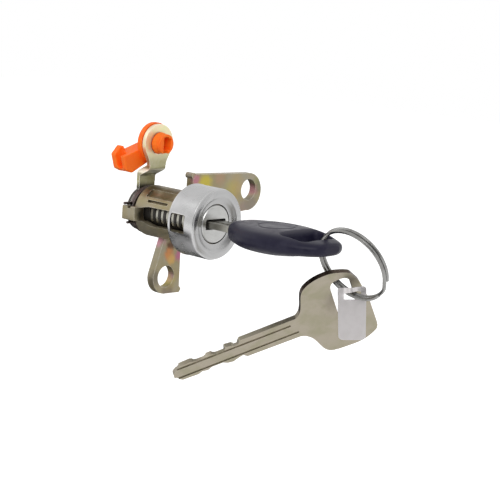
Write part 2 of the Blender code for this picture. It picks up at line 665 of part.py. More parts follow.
def build_shutter(parts, cutters, mats):
    plate_low = KEYWAY_HEIGHT / 2 + 0.05 * MM
    plate_width = (-SHUTTER_WIDTH / 2, SHUTTER_WIDTH / 2)
    flap = box("keyway_shutter", plate_width, (plate_low, plate_low + SHUTTER_PLATE),
               (SHUTTER_REAR, SHUTTER_PIN_FORWARD), parts)
    knuckle = rod("shutter_knuckle", SHUTTER_KNUCKLE_RADIUS, (-1.6 * MM, 1.6 * MM), cutters,
                  centre=(SHUTTER_PIN_HEIGHT, SHUTTER_PIN_FORWARD), segments=20, axis="X")
    hole = rod("shutter_knuckle_hole", SHUTTER_PIN_RADIUS + 0.2 * MM, (-6 * MM, 6 * MM), cutters,
               centre=(SHUTTER_PIN_HEIGHT, SHUTTER_PIN_FORWARD), segments=16, axis="X")
    spring_notch = box("shutter_spring_notch", (1.65 * MM, SHUTTER_WIDTH), (0.0, SHUTTER_POCKET_TOP),
                       (SHUTTER_PIN_FORWARD - 1.4 * MM, SHUTTER_PIN_FORWARD + MM), cutters)
    join(flap, knuckle)
    cut(flap, hole, spring_notch)
    finish(flap, mats[0])
    pin = rod("shutter_pin", SHUTTER_PIN_RADIUS, (-SHUTTER_PIN_LENGTH / 2, SHUTTER_PIN_LENGTH / 2), parts,
              centre=(SHUTTER_PIN_HEIGHT, SHUTTER_PIN_FORWARD), segments=16, axis="X")
    finish(pin, mats[1])
    points = coil_points(SHUTTER_SPRING_RADIUS, 2.0 * MM, 3.9 * MM, 4, 10)
    height = SHUTTER_PIN_HEIGHT
    placed = [(along, height + across, SHUTTER_PIN_FORWARD + out) for across, out, along in points]
    finish(wire("shutter_spring", placed, SHUTTER_SPRING_WIRE, parts, sides=0), mats[2])


def build_return_spring(parts, mat):
    """Torsion spring whose two ends stand either side of the housing's stop lug."""
    upper = LUG_TOP + SPRING_WIRE + FIT
    lower = LUG_BOTTOM - SPRING_WIRE - FIT
    first = 180.0 - math.degrees(math.asin(upper / SPRING_RADIUS))
    last = 180.0 + math.degrees(math.asin(-lower / SPRING_RADIUS))
    turns = 1.0 + (360.0 + first - last) / 360.0
    coil = coil_points(SPRING_RADIUS, SPRING_FRONT, SPRING_REAR, turns, 32, start_angle=last)
    leg_out = -LUG_OUTER - 0.6 * MM
    points = [(leg_out, lower, SPRING_FRONT)] + coil + [(leg_out, upper, SPRING_REAR)]
    return finish(wire("return_spring", points, SPRING_WIRE, parts, sides=2), mat)


def build_lever(parts, cutters, mat):
    rear = LEVER_FRONT - LEVER_THICKNESS
    lever = rod("lever", LEVER_DISC_RADIUS, (rear, LEVER_FRONT), parts, segments=72)
    half = LEVER_ARM_HALF
    arm = box("lever_arm", (-half, half), (0.0, JOGGLE_LOW), (rear, LEVER_FRONT), cutters)
    eye_rear = EYE_FRONT - LEVER_THICKNESS
    bend = LEVER_THICKNESS / 2
    # side view of the joggled strip: (forward, height), from the disc plane to the eye plane
    strip_outline = rounded([
        (LEVER_FRONT, JOGGLE_LOW - 3 * MM, 0.0), (rear, JOGGLE_LOW - 3 * MM, 0.0),
        (rear, JOGGLE_LOW + bend, 1.6 * MM), (eye_rear, JOGGLE_HIGH + bend, 1.0 * MM),
        (eye_rear, EYE_HEIGHT - 4 * MM, 0.0), (EYE_FRONT, EYE_HEIGHT - 4 * MM, 0.0),
        (EYE_FRONT, JOGGLE_HIGH - bend, 1.6 * MM), (LEVER_FRONT, JOGGLE_LOW - bend, 1.0 * MM)], steps=4)
    strip = side_cutter("lever_joggle", strip_outline, (-half - 0.1 * MM, half + 0.1 * MM), cutters)
    foot = JOGGLE_HIGH + 0.8 * MM
    waist = LEVER_NECK_HALF + 0.1 * MM
    shoulder = LEVER_NECK_HALF + 1.8 * MM
    waist_height = EYE_HEIGHT - 6.6 * MM
    shoulder_height = EYE_HEIGHT - 3.4 * MM
    neck = plate("lever_neck", rounded([
        (-LEVER_NECK_HALF, foot, 0.0), (LEVER_NECK_HALF, foot, 0.0), (waist, waist_height, 2.5 * MM),
        (shoulder, shoulder_height, 0.0), (-shoulder, shoulder_height, 0.0),
        (-waist, waist_height, 2.5 * MM)]), (eye_rear, EYE_FRONT), cutters)
    eye = rod("lever_eye", EYE_RADIUS, (eye_rear, EYE_FRONT), cutters,
              centre=(0.0, EYE_HEIGHT), segments=56)
    join(lever, arm, strip, neck, eye)
    eye_hole = rod("lever_eye_hole", EYE_HOLE_RADIUS, (eye_rear - MM, EYE_FRONT + MM), cutters,
                   centre=(0.0, EYE_HEIGHT), segments=40)
    drive = TAIL_HALF + FIT
    through = (rear - MM, LEVER_FRONT + MM)
    drive_hole = box("lever_drive_hole", (-drive, drive), (-drive, drive), through, cutters)
    cut(lever, eye_hole, drive_hole)
    return finish(lever, mat)


def washer_range():
    front = LEVER_FRONT - LEVER_THICKNESS - FIT
    return front, front - WASHER_THICKNESS


def clip_range():
    front = washer_range()[1] - FIT
    return front, front - CLIP_THICKNESS


def build_tail_fixings(parts, cutters, mats):
    front, rear = washer_range()
    inner = TAIL_CORNER_RADIUS + FIT
    finish(turned("lever_washer", [
        (inner, front), (WASHER_RADIUS, front), (WASHER_RADIUS, rear), (inner, rear)], parts), mats[0])
    front, rear = clip_range()
    clip = rod("retaining_clip", CLIP_RADIUS, (rear, front), parts, segments=56)
    inner = GROOVE_RADIUS + FIT
    through = (rear - MM, front + MM)
    seat = rod("clip_seat", inner, through, cutters, segments=32)
    mouth = box("clip_mouth", (-1.9 * MM, 1.9 * MM), (-CLIP_RADIUS - MM, 0.0), through, cutters)
    relief_reach = 3.4 * MM
    cut(clip, seat, mouth)
    for i, angle in enumerate((20.0, 160.0)):
        centre = (relief_reach * math.cos(math.radians(angle)), relief_reach * math.sin(math.radians(angle)))
        relief = rod("clip_relief_%d" % (i + 1), 1.1 * MM, (rear - MM, front + MM), cutters, centre=centre,
                     segments=20)
        cut(clip, relief)
    return finish(clip, mats[1])


def build_rod_clip(parts, cutters, mat):
    """Drawn about its own pin, which is its turning axis; the arm is then swung into place."""
    flange_front = EYE_FRONT - LEVER_THICKNESS - FIT
    flange_rear = flange_front - FLANGE_THICKNESS
    clip = rod("rod_clip", FLANGE_RADIUS, (flange_rear, flange_front), parts, segments=56)
    pin = rod("rod_clip_pin", PIN_RADIUS, (flange_rear + SINK, PIN_FRONT), cutters, segments=36)
    head_rear = EYE_FRONT + FIT
    head = rod("rod_clip_pin_head", PIN_RADIUS + 0.45 * MM, (head_rear, PIN_FRONT - 0.9 * MM), cutters,
               segments=34, end_radius=PIN_RADIUS - 0.1 * MM)
    arm_outline = rounded([
        (1.5 * MM, -CLIP_ARM_HALF + 2.0 * MM, 1.0 * MM), (2.5 * MM, CLIP_ARM_HALF - 0.6 * MM, 1.5 * MM),
        (-CLIP_ARM_LENGTH + 4.6 * MM, CLIP_ARM_HALF - 0.9 * MM, 0.3 * MM),
        (-CLIP_ARM_LENGTH + 4.0 * MM, CLIP_ARM_HALF + 1.7 * MM, 0.5 * MM),
        (-CLIP_ARM_LENGTH + 0.2 * MM, CLIP_ARM_HALF - 0.6 * MM, 0.5 * MM),
        (-CLIP_ARM_LENGTH + 0.3 * MM, -CLIP_ARM_HALF + 1.6 * MM, 1.2 * MM),
        (-CLIP_ARM_LENGTH + 2.6 * MM, -CLIP_ARM_HALF - 0.3 * MM, 1.2 * MM),
        (-5.0 * MM, -CLIP_ARM_HALF + 0.8 * MM, 1.0 * MM)], steps=4)
    arm = plate("rod_clip_arm", arm_outline, (CLIP_ARM_REAR, flange_rear + SINK / 2), cutters)
    join(clip, pin, head, arm)
    channel_centre = (CLIP_ARM_REAR + flange_rear) / 2
    mouth_half = ROD_RADIUS - 0.25 * MM
    channel_top = CLIP_ARM_HALF - 1.1 * MM
    channel_bottom = -CLIP_ARM_HALF - 2 * MM
    mouth_span = (channel_centre - mouth_half, channel_centre + mouth_half)
    channel = box("rod_channel_mouth", (-CLIP_ARM_LENGTH - MM, -CLIP_ARM_LENGTH + 2.6 * MM),
                  (channel_bottom, channel_top), mouth_span, cutters)
    seat = box("rod_channel_seat", (-CLIP_ARM_LENGTH + 1.2 * MM, -CLIP_ARM_LENGTH + 4.2 * MM),
               (channel_bottom - MM, channel_top + 0.15 * MM),
               (channel_centre - ROD_RADIUS, channel_centre + ROD_RADIUS), cutters)
    bevel(seat, 0.9 * MM, segments=3, angle=60)
    hollow_floor = EYE_FRONT - 0.8 * MM
    split_height = (-PIN_RADIUS - 2 * MM, PIN_RADIUS - 1.1 * MM)
    split = box("rod_clip_pin_split", (-PIN_SLOT / 2, PIN_SLOT / 2), split_height,
                (hollow_floor, PIN_FRONT + MM), cutters)
    hollow = box("rod_clip_pin_hollow", (-0.6 * MM, PIN_RADIUS - 1.3 * MM), (-2.0 * MM, 2.0 * MM),
                 (hollow_floor + 0.2 * MM, PIN_FRONT + 2 * MM), cutters)
    cut(clip, channel, seat, split, hollow)
    clip.location = Vector((0.0, 0.0, EYE_HEIGHT))
    for tool in (pin, head, arm, channel, seat, split, hollow):
        tool.location = clip.location
        tool.rotation_euler = LOCK_TURN
    swing = Matrix.Rotation(CLIP_ARM_DROP, 4, "Z") @ Matrix.Translation((0.0, CLIP_ARM_OFFSET, 0.0))
    for tool in (arm, channel, seat):
        tool.data.transform(swing)
    return finish(clip, mat)


def blade_edge(side):
    """Cut edge of the key on one side: (across, forward) points from the tip forward."""
    half = BLADE_WIDTH / 2
    points = []
    for i in reversed(range(WAFER_COUNT)):
        if wafer_side(i) != side:
            continue
        depth = CUT_DEPTHS[i]
        middle = wafer_forward(i)
        ramp = CUT_FLAT / 2 + depth * 0.9
        points.append((side * half, middle - ramp))
        points.append((side * (half - depth), middle - CUT_FLAT / 2))
        points.append((side * (half - depth), middle + CUT_FLAT / 2))
        points.append((side * half, middle + ramp))
    return points


def build_key_blade(parts, cutters, mat):
    half = BLADE_WIDTH / 2
    tip = 2.2 * MM
    outline = [(tip * 0.4, BLADE_TIP), (half - 0.6 * MM, BLADE_TIP + tip * 0.8)]
    outline += blade_edge(1.0)
    outline += [(half, TANG_END), (-half, TANG_END)]
    outline += list(reversed(blade_edge(-1.0)))
    outline += [(-half + 0.6 * MM, BLADE_TIP + tip * 0.8), (-tip * 0.4, BLADE_TIP)]
    # the outline is drawn across and forward; its plane is then laid flat
    blade = plate("key_blade", [(x, -forward) for x, forward in outline],
                  (-BLADE_THICKNESS / 2, BLADE_THICKNESS / 2), parts)
    blade.data.transform(Matrix.Rotation(-math.pi / 2, 4, "X"))
    depth = 0.45 * MM
    top = BLADE_THICKNESS / 2
    upper = box("blade_groove_top", (-1.9 * MM, -0.5 * MM), (top - depth, top + MM),
                (BLADE_TIP - MM, HEAD_ROOT - 1.5 * MM), cutters)
    lower = box("blade_groove_bottom", (0.5 * MM, 1.9 * MM), (-top - MM, -top + depth),
                (BLADE_TIP - MM, HEAD_ROOT - 1.5 * MM), cutters)
    cut(blade, upper, lower)
    return finish(blade, mat)


def build_key_head(parts, cutters, mat):
    """Soft head lofted through rounded sections, then slotted and hollowed for the tang."""
    mesh = bpy.data.meshes.new("key_head")
    bm = bmesh.new()
    rings = []
    for forward, half_width, half_thick in HEAD_SECTIONS:
        ring = []
        for k in range(HEAD_SECTION_POINTS):
            angle = math.tau * (k + 0.5) / HEAD_SECTION_POINTS
            c, s = math.cos(angle), math.sin(angle)
            x = half_width * math.copysign(abs(c) ** HEAD_SQUARENESS, c)
            y = half_thick * math.copysign(abs(s) ** (HEAD_SQUARENESS + 0.3), s)
            ring.append(bm.verts.new((x, y, HEAD_ROOT + forward)))
        rings.append(ring)
    for lower, upper in zip(rings, rings[1:]):
        for k in range(HEAD_SECTION_POINTS):
            n = (k + 1) % HEAD_SECTION_POINTS
            bm.faces.new((lower[k], lower[n], upper[n], upper[k]))
    bm.faces.new(list(reversed(rings[0])))
    bm.faces.new(rings[-1])
    bmesh.ops.recalc_face_normals(bm, faces=bm.faces)
    bm.to_mesh(mesh)
    bm.free()
    smooth(mesh)
    head = place("key_head", mesh, parts)
    near = HEAD_SLOT_NEAR
    far = HEAD_SLOT_FAR
    half = HEAD_SLOT_HALF
    corner = 2.4 * MM
    slot_outline = rounded([
        (-half, -near, corner), (half, -near, corner), (half - HEAD_SLOT_TAPER, -far, corner),
        (-half + HEAD_SLOT_TAPER, -far, corner)], steps=6)
    slot = plate("head_slot", slot_outline, (-8 * MM, 8 * MM), cutters)
    slot.data.transform(Matrix.Rotation(-math.pi / 2, 4, "X"))
    pocket_half = BLADE_WIDTH / 2 + FIT
    pocket_thick = BLADE_THICKNESS / 2 + FIT
    tang_pocket = box("tang_pocket", (-pocket_half, pocket_half), (-pocket_thick, pocket_thick),
                      (HEAD_ROOT - 2 * MM, TANG_END + FIT), cutters)
    cut(head, slot, tang_pocket)
    sink = 2.0 * MM
    for side, face in ((1.0, "top"), (-1.0, "bottom")):
        oval = rod("emblem_oval_" + face, 1.0, (-sink / 2, sink / 2), cutters, segments=48)
        oval.data.transform(Matrix.Diagonal((EMBLEM_ACROSS / 2, EMBLEM_ALONG / 2, 1.0, 1.0)))
        oval.data.transform(Matrix.Rotation(math.pi / 2, 4, "X"))
        oval.data.transform(Matrix.Translation((0.0, side * (EMBLEM_FLOOR + sink / 2), EMBLEM_FORWARD)))
        cut(head, oval)
    return finish(head, mat)


def frame_matrix(origin, x_axis, y_axis):
    """Placement whose X and Y follow the two given directions."""
    x = x_axis.normalized()
    z = x.cross(y_axis).normalized()
    y = z.cross(x)
    matrix = Matrix((x, y, z)).transposed().to_4x4()
    matrix.translation = origin
    return matrix


def split_ring_points():
    """Two flat turns side by side, joined where the wire crosses over between its own ends."""
    whole = 720.0 - RING_CROSSING - RING_END_GAP
    count = int(whole / RING_STEP)
    points = []
    for i in range(count + 1):
        along = whole * i / count
        crossed = min(max((along - 360.0 + RING_CROSSING) / RING_CROSSING, 0.0), 1.0)
        eased = crossed * crossed * (3.0 - 2.0 * crossed)
        angle = math.radians(RING_SPLIT + along)
        offset = (eased - 0.5) * RING_PITCH
        points.append((RING_RADIUS * math.cos(angle), RING_RADIUS * math.sin(angle), offset))
    return points


def build_ring(parts, mat):
    """Two-turn split ring; its origin is on the axis it swings about in the head's slot."""
    side = RING_NORMAL.cross(Vector((0.0, 0.0, 1.0)))
    placement = frame_matrix(RING_CENTRE, side, RING_NORMAL.cross(side))
    points = split_ring_points()
    to_pivot = Matrix.Translation(RING_CENTRE - RING_PIVOT) @ placement.to_3x3().to_4x4()
    moved = [tuple(to_pivot @ Vector(point)) for point in points]
    ring = wire("key_ring", moved, RING_WIRE, parts, turn=(0.0, 0.0, 0.0), sides=2)
    ring.location = RING_PIVOT
    return finish(ring, mat)


def build_tag(parts, cutters, mat):
    """Thin tag drawn about the point where the ring carries it."""
    half = TAG_WIDTH / 2
    top = TAG_SLOT_DROP - TAG_SLOT_HEIGHT / 2 + 0.9 * MM
    outline = rounded([
        (-half, top, 1.0 * MM), (half, top, 1.0 * MM), (half, top - TAG_HEIGHT, 1.0 * MM),
        (-half, top - TAG_HEIGHT, 1.0 * MM)], steps=4)
    tag = plate("key_tag", outline, (-TAG_THICKNESS / 2, TAG_THICKNESS / 2), parts)
    slot_x = TAG_SLOT_LENGTH / 2
    slot_y = TAG_SLOT_HEIGHT / 2
    corner = 0.6 * MM
    slot = plate("tag_slot", rounded([
        (-slot_x, -slot_y, corner), (slot_x, -slot_y, corner), (slot_x, slot_y, corner),
        (-slot_x, slot_y, corner)]), (-2 * MM, 2 * MM), cutters)
    matrix = frame_matrix(TAG_PIVOT, TAG_ACROSS, TAG_UP)
    tag.matrix_world = matrix
    slot.matrix_world = matrix
    cut(tag, slot)
    return finish(tag, mat)


def spare_outline():
    """Outline of the spare key about its ring point: (along, across)."""
    top = SPARE_BLADE_HALF - SPARE_BLADE_DROP
    foot = -SPARE_BLADE_HALF - SPARE_BLADE_DROP
    bow = SPARE_BOW_HALF
    near = SPARE_BOW_NEAR
    far = SPARE_BOW_FAR
    tip = SPARE_TIP
    centre = -SPARE_SLOT_HALF + SPARE_HANG
    upper = [
        (tip + 3.2 * MM, top - 0.6 * MM, 0.0), (tip + 7.0 * MM, top - 0.4 * MM, 0.0),
        (tip + 9.0 * MM, top - 1.3 * MM, 0.0), (tip + 11.5 * MM, top - 1.3 * MM, 0.0),
        (tip + 13.0 * MM, top - 0.7 * MM, 0.0), (tip + 14.5 * MM, top - 0.7 * MM, 0.0),
        (tip + 16.0 * MM, top - 1.5 * MM, 0.0), (tip + 18.8 * MM, top - 1.5 * MM, 0.0),
        (tip + 19.4 * MM, top + 0.1 * MM, 0.3 * MM), (tip + 21.8 * MM, top - 0.2 * MM, 0.3 * MM),
        (tip + 22.6 * MM, top - 0.9 * MM, 0.0), (tip + 23.8 * MM, top - 0.9 * MM, 0.0),
        (tip + 24.8 * MM, top + 0.6 * MM, 0.5 * MM),
        (near - 3.0 * MM, top + 0.7 * MM, 2.0 * MM),
        (near - 1.0 * MM, top + 1.5 * MM, 2.0 * MM),
        (near + 1.2 * MM, bow - 1.9 * MM, 2.0 * MM), (near + 6.5 * MM, bow + 0.4 * MM, 4.0 * MM),
        (far - 9.5 * MM, bow + 0.7 * MM, 3.0 * MM), (far - 3.2 * MM, bow - 1.7 * MM, 3.0 * MM),
        (far - 0.9 * MM, bow - 6.7 * MM, 4.0 * MM), (far + 0.6 * MM, 0.0, 0.0),
    ]
    lower = [
        (far + 1.0 * MM, -bow + 1.8 * MM, 4.5 * MM), (far - 6.0 * MM, -bow - 0.6 * MM, 5.0 * MM),
        (near + 3.4 * MM, -bow, 4.0 * MM), (near + 0.4 * MM, foot - 2.6 * MM, 3.0 * MM),
        (near - 2.4 * MM, foot - 0.3 * MM, 3.0 * MM),
        (tip + 25.5 * MM, foot, 0.4 * MM), (tip + 24.3 * MM, foot + 1.2 * MM, 0.3 * MM),
        (tip + 22.5 * MM, foot + 0.8 * MM, 0.0), (tip + 20.5 * MM, foot + 0.1 * MM, 0.4 * MM),
        (tip + 18.5 * MM, foot + 0.4 * MM, 0.3 * MM), (tip + 17.0 * MM, foot + 1.3 * MM, 0.0),
        (tip + 13.0 * MM, foot + 1.3 * MM, 0.0), (tip + 11.5 * MM, foot + 0.6 * MM, 0.3 * MM),
        (tip + 9.5 * MM, foot + 1.0 * MM, 0.0), (tip + 8.0 * MM, foot + 0.4 * MM, 0.3 * MM),
        (tip + 6.0 * MM, foot + 0.5 * MM, 0.0), (tip + 2.4 * MM, foot + 0.6 * MM, 0.8 * MM),
        (tip, -1.6 * MM, 0.8 * MM), (tip + 0.2 * MM, 0.0, 0.8 * MM),
    ]
    return rounded([(x, y + centre, r) for x, y, r in upper + lower], steps=4), centre


def build_spare_key(parts, cutters, mat):
    outline, centre = spare_outline()
    half_thick = SPARE_THICKNESS / 2
    key = plate("spare_key", outline, (-half_thick, half_thick), parts)
    half = SPARE_SLOT_WIDTH / 2
    slot = plate("spare_slot", rounded([
        (-half, centre - SPARE_SLOT_HALF, 3.0 * MM), (half, centre - SPARE_SLOT_HALF, 3.0 * MM),
        (half, centre + SPARE_SLOT_HALF, 3.0 * MM), (-half, centre + SPARE_SLOT_HALF, 3.0 * MM)], steps=6),
        (-3 * MM, 3 * MM), cutters)
    depth = 0.4 * MM
    groove_half = 0.45 * MM
    grooves = []
    for side in (1.0, -1.0):
        for lane, end in ((2.2 * MM, SPARE_BOW_NEAR - 5.5 * MM), (-1.5 * MM, SPARE_BOW_NEAR - 3.5 * MM)):
            low = min(side * (half_thick - depth), side * (half_thick + MM))
            high = max(side * (half_thick - depth), side * (half_thick + MM))
            middle = centre - SPARE_BLADE_DROP + lane
            lane_span = (middle - groove_half, middle + groove_half)
            grooves.append(box("spare_groove_%d" % (len(grooves) + 1), (SPARE_TIP - MM, end), lane_span,
                               (low, high), cutters))
    matrix = frame_matrix(SPARE_PIVOT, SPARE_ALONG, SPARE_ACROSS)
    for obj in [key, slot] + grooves:
        obj.matrix_world = matrix
    cut(key, slot, *grooves)
    return finish(key, mat)


def main():
    for obj in list(bpy.data.objects):
        bpy.data.objects.remove(obj)
    parts = collection("car_door_lock")
    cutters = collection("cutters")
    chromate = material("yellow_chromate_zinc", (0.42, 0.34, 0.20), 0.85, 0.38)
    satin = material("satin_stainless", (0.66, 0.66, 0.66), 1.0, 0.33)
    bright = material("bright_face_steel", (0.72, 0.72, 0.73), 1.0, 0.22)
    zinc = material("plain_zinc", (0.33, 0.32, 0.31), 0.9, 0.45)
    brass = material("wafer_brass", (0.60, 0.52, 0.38), 1.0, 0.35)
    spring_steel = material("spring_steel", (0.40, 0.36, 0.42), 1.0, 0.35)
    small_spring = material("bright_spring_wire", (0.62, 0.62, 0.62), 1.0, 0.3)
    flap_steel = material("shutter_steel", (0.55, 0.55, 0.54), 1.0, 0.35)
    pin_steel = material("pin_steel", (0.5, 0.5, 0.5), 1.0, 0.3)
    coil_steel = material("shutter_spring_wire", (0.58, 0.58, 0.6), 1.0, 0.3)
    plated = material("plated_lever_steel", (0.42, 0.42, 0.34), 0.9, 0.35)
    washer_steel = material("washer_steel", (0.5, 0.5, 0.48), 1.0, 0.35)
    black_clip = material("oiled_clip_steel", (0.08, 0.08, 0.08), 0.9, 0.35)
    orange = material("orange_nylon", (0.92, 0.22, 0.02), 0.0, 0.42)
    nickel_blade = material("nickel_blade", (0.60, 0.58, 0.52), 1.0, 0.3)
    navy = material("dark_navy_plastic", (0.035, 0.034, 0.055), 0.0, 0.35)
    ring_steel = material("ring_steel", (0.42, 0.42, 0.42), 1.0, 0.25)
    tag_metal = material("tag_aluminium", (0.74, 0.73, 0.74), 1.0, 0.35)
    nickel_key = material("nickel_spare_key", (0.50, 0.47, 0.41), 1.0, 0.32)

    build_housing(parts, cutters, chromate)
    build_cap(parts, cutters, satin)
    build_plug(parts, cutters, zinc)
    build_plug_face(parts, cutters, bright)
    build_wafers((parts, cutters), (brass, small_spring))
    build_shutter(parts, cutters, (flap_steel, pin_steel, coil_steel))
    build_return_spring(parts, spring_steel)
    build_lever(parts, cutters, plated)
    build_tail_fixings(parts, cutters, (washer_steel, black_clip))
    build_rod_clip(parts, cutters, orange)
    build_key_blade(parts, cutters, nickel_blade)
    build_key_head(parts, cutters, navy)
    build_ring(parts, ring_steel)
    build_tag(parts, cutters, tag_metal)
    build_spare_key(parts, cutters, nickel_key)


main()
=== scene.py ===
"""Looks for the car door lock and its keys.

Finishes for every CAD node, finer shells for the cast, pressed, milled and moulded pieces, and the
studio with its lamps and camera.
"""

import json
import math

import bmesh
import bpy
from mathutils import Matrix, Vector


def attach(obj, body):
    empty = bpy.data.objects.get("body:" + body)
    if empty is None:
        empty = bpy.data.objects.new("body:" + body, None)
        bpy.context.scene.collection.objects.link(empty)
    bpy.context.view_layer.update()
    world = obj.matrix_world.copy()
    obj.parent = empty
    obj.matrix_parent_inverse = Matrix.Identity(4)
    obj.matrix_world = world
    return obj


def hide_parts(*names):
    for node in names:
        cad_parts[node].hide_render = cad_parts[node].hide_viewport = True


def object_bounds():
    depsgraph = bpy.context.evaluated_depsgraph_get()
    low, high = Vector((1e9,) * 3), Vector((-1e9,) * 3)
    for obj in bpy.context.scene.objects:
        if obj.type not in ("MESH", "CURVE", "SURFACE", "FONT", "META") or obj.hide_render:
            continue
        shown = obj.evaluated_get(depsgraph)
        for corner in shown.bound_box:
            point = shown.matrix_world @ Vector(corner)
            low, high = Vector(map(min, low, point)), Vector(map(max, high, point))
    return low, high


MM = 0.001

# Camera: its place, the way it looks and its tilt in degrees, lens and sensor in mm
CAMERA_PLACE = Vector((-355.2, -355.0, 78.5)) * MM
CAMERA_AZIMUTH = -48.405
CAMERA_ELEVATION = 10.096
CAMERA_ROLL = 4.513
LENS = 102.74
SENSOR = 36.0

# Studio: the floor under the object, the world as light on the object, and where the lamps point
FLOOR_DROP = 34 * MM
FLOOR_SIZE = 3.0
FLOOR_GREY = 0.80
FLOOR_ROUGH = 0.8
FLOOR_GLOW = 0.6                     # added where the floor is seen, so that it shows white
WORLD_LIGHT = 0.57
AIM = Vector((0.0, -30.0, 0.0)) * MM

# Soft boxes: name, place and width in metres, brightness of the face
LAMPS = (
    ("key_light", (-1.0, -0.9, 0.95), 1.1, 3.4),
    ("back_light", (-0.62, 0.98, 0.75), 0.9, 0.7),
    ("fill_light", (1.1, -0.9, 0.5), 1.0, 0.25),
)

# Dark cards: name, place, width and height in metres, the way they face, grey
CARDS = (
    ("front_card", (-0.30, -0.30, 0.03), 0.34, 0.26, (1.0, 1.0, 0.0), 0.12),
    ("low_card", (0.02, 0.075, -0.06), 0.26, 0.14, (0.0, 0.0, 1.0), 0.05),
)
CARD_ROUGH = 0.9

# Welding of a CAD node's triangles: points this close are one, faces this flat to each other join
WELD = 0.001 * MM
FLAT_ANGLE = math.radians(0.8)

# Roundings that the casting, pressings and milled pieces get on edges sharper than the angle
CAST_ROUND = 0.22 * MM
PRESSED_ROUND = 0.14 * MM
MILLED_ROUND = 0.08 * MM
SHARP_ANGLE = math.radians(28)
CORNER_STEPS = 8                     # along each rounded corner of an outline

# The key's head. Each section: distance from the root, half width and half thickness, typed in mm.
# The powers say how full its outline is, across and up; 1 would be an ellipse
HEAD_ROOT = 33.6 * MM
HEAD_SECTIONS = tuple(tuple(value * MM for value in row) for row in (
    (0.0, 4.9, 2.2), (0.8, 6.0, 3.1), (3.0, 8.0, 3.7), (6.5, 10.4, 4.0), (12.0, 13.4, 4.3),
    (18.0, 14.8, 4.35), (24.0, 14.5, 4.2), (30.0, 13.0, 3.7), (35.5, 10.4, 2.8), (38.6, 8.2, 2.4),
    (40.4, 6.2, 2.0), (41.3, 3.8, 1.2),
))
HEAD_ACROSS_POWER = 0.55
HEAD_UP_POWER = 0.85
HEAD_RINGS = 100
HEAD_POINTS = 96
HEAD_VOXEL = 0.2 * MM
HEAD_SMOOTHING = 4

# Its slot for the ring: ends along the key, half width, how much that narrows, corners
SLOT_NEAR = 60.0 * MM
SLOT_FAR = 69.8 * MM
SLOT_HALF = 9.7 * MM
SLOT_TAPER = 2.2 * MM
SLOT_CORNER = 2.6 * MM

# The slot's cutter: half height and levels; its flare at a height over the middle plane, the power
# with which that grows, and the share of it at the far end
CUTTER_HALF = 5 * MM
CUTTER_LEVELS = 15
FLARE = 1.5 * MM
FLARE_HEIGHT = 4.6 * MM
FLARE_POWER = 4
FLARE_FAR_SHARE = 0.15

# The bare oval on each of its faces: centre along the key, half sizes across and along, groove
EMBLEM_CENTRE = 51.0 * MM
EMBLEM_HALF = (7.4 * MM, 5.6 * MM)
EMBLEM_GROOVE = 0.36 * MM
EMBLEM_POINTS = 72

# Its pocket for the blade's tang: half width, half thickness, and the ends from the head's root
POCKET_HALF = (4.3 * MM, 1.4 * MM)
POCKET_ENDS = (-2 * MM, 16.7 * MM)

# The tag: where the ring carries it, its directions, its outline and slot as (across, up, corner
# radius) in mm, half its thickness
TAG_PIVOT = Vector((13.3, -74.1, -16.0)) * MM
TAG_ACROSS = Vector((0.70, -0.71, 0.066)).normalized()
TAG_FACING = TAG_ACROSS.cross(Vector((-0.066, 0.147, 0.99))).normalized()
TAG_OUTLINE = ((-4.6, 2.2, 0.9), (-4.1, -15.2, 1.7), (5.0, -15.2, 1.7), (4.9, 2.8, 1.2))
TAG_SLOT = (
    (-2.5, -1.7, 0.3), (3.2, -1.7, 0.5), (3.2, 1.15, 0.5), (0.6, 1.15, 0.5), (-0.8, 0.8, 0.5),
    (-2.5, 0.3, 0.3),
)
TAG_HALF_THICK = 0.3 * MM

# Its strip over the ring: how far it stands forward, middle and reach across, and in mm the height
# where it starts to and the rise over which it does
TAG_CURL = 1.7 * MM
TAG_CURL_PLACE = -0.3 * MM
TAG_CURL_REACH = 1.5 * MM
TAG_CURL_START = -1.2
TAG_CURL_RISE = 1.6

# The cuts that let the strip bend: direction, first and last place and step in mm
TAG_CUTS = (((1, 0, 0), -4.2, 4.6, 0.4), ((0, 1, 0), -1.4, 2.6, 0.4))

# The orange clip's arm: swing and drop from the lever's eye, and its middle plane's forward place
EYE_HEIGHT = 24.3 * MM
ARM_TURN = math.radians(17)
ARM_OFFSET = -3.7 * MM
ARM_MIDDLE = -14.1 * MM

# The open cradle at its end, measured along the arm, across it (up) and forward. First a filling is
# joined on, then a round-floored groove is cut from the top, and the front wall is cut low
CRADLE_FILL = ((-14.1, -2.0), (-12.0, -3.85), (-9.8, -3.6), (-9.8, 2.9), (-14.15, 2.9))
CRADLE_FILL_HALF = 2.4 * MM
CRADLE_HALF = 1.35 * MM
CRADLE_FLOOR = -0.9 * MM             # height of the middle of the round floor's arc
CRADLE_STEPS = 16
CRADLE_SPAN = (-16.0 * MM, -10.7 * MM)
CRADLE_TOP = 9 * MM
LOW_WALL_TOP = 2.9 * MM
LOW_WALL_SPAN = (-16 * MM, -9.3 * MM)
LOW_WALL_FRONT = -9.0 * MM
LOW_WALL_REAR = ARM_MIDDLE - 0.5 * MM
LOW_WALL_SLANT = 0.01 * MM           # keeps the cutter's sides off the arm's own planes
CLIP_VOXEL = 0.16 * MM
CLIP_SMOOTHING = 5

# The spare key: the way it lies and faces
SPARE_ALONG = (0.677, -0.605, 0.419)
SPARE_FACING = Vector((-0.4715, -0.7936, -0.3841)).normalized()

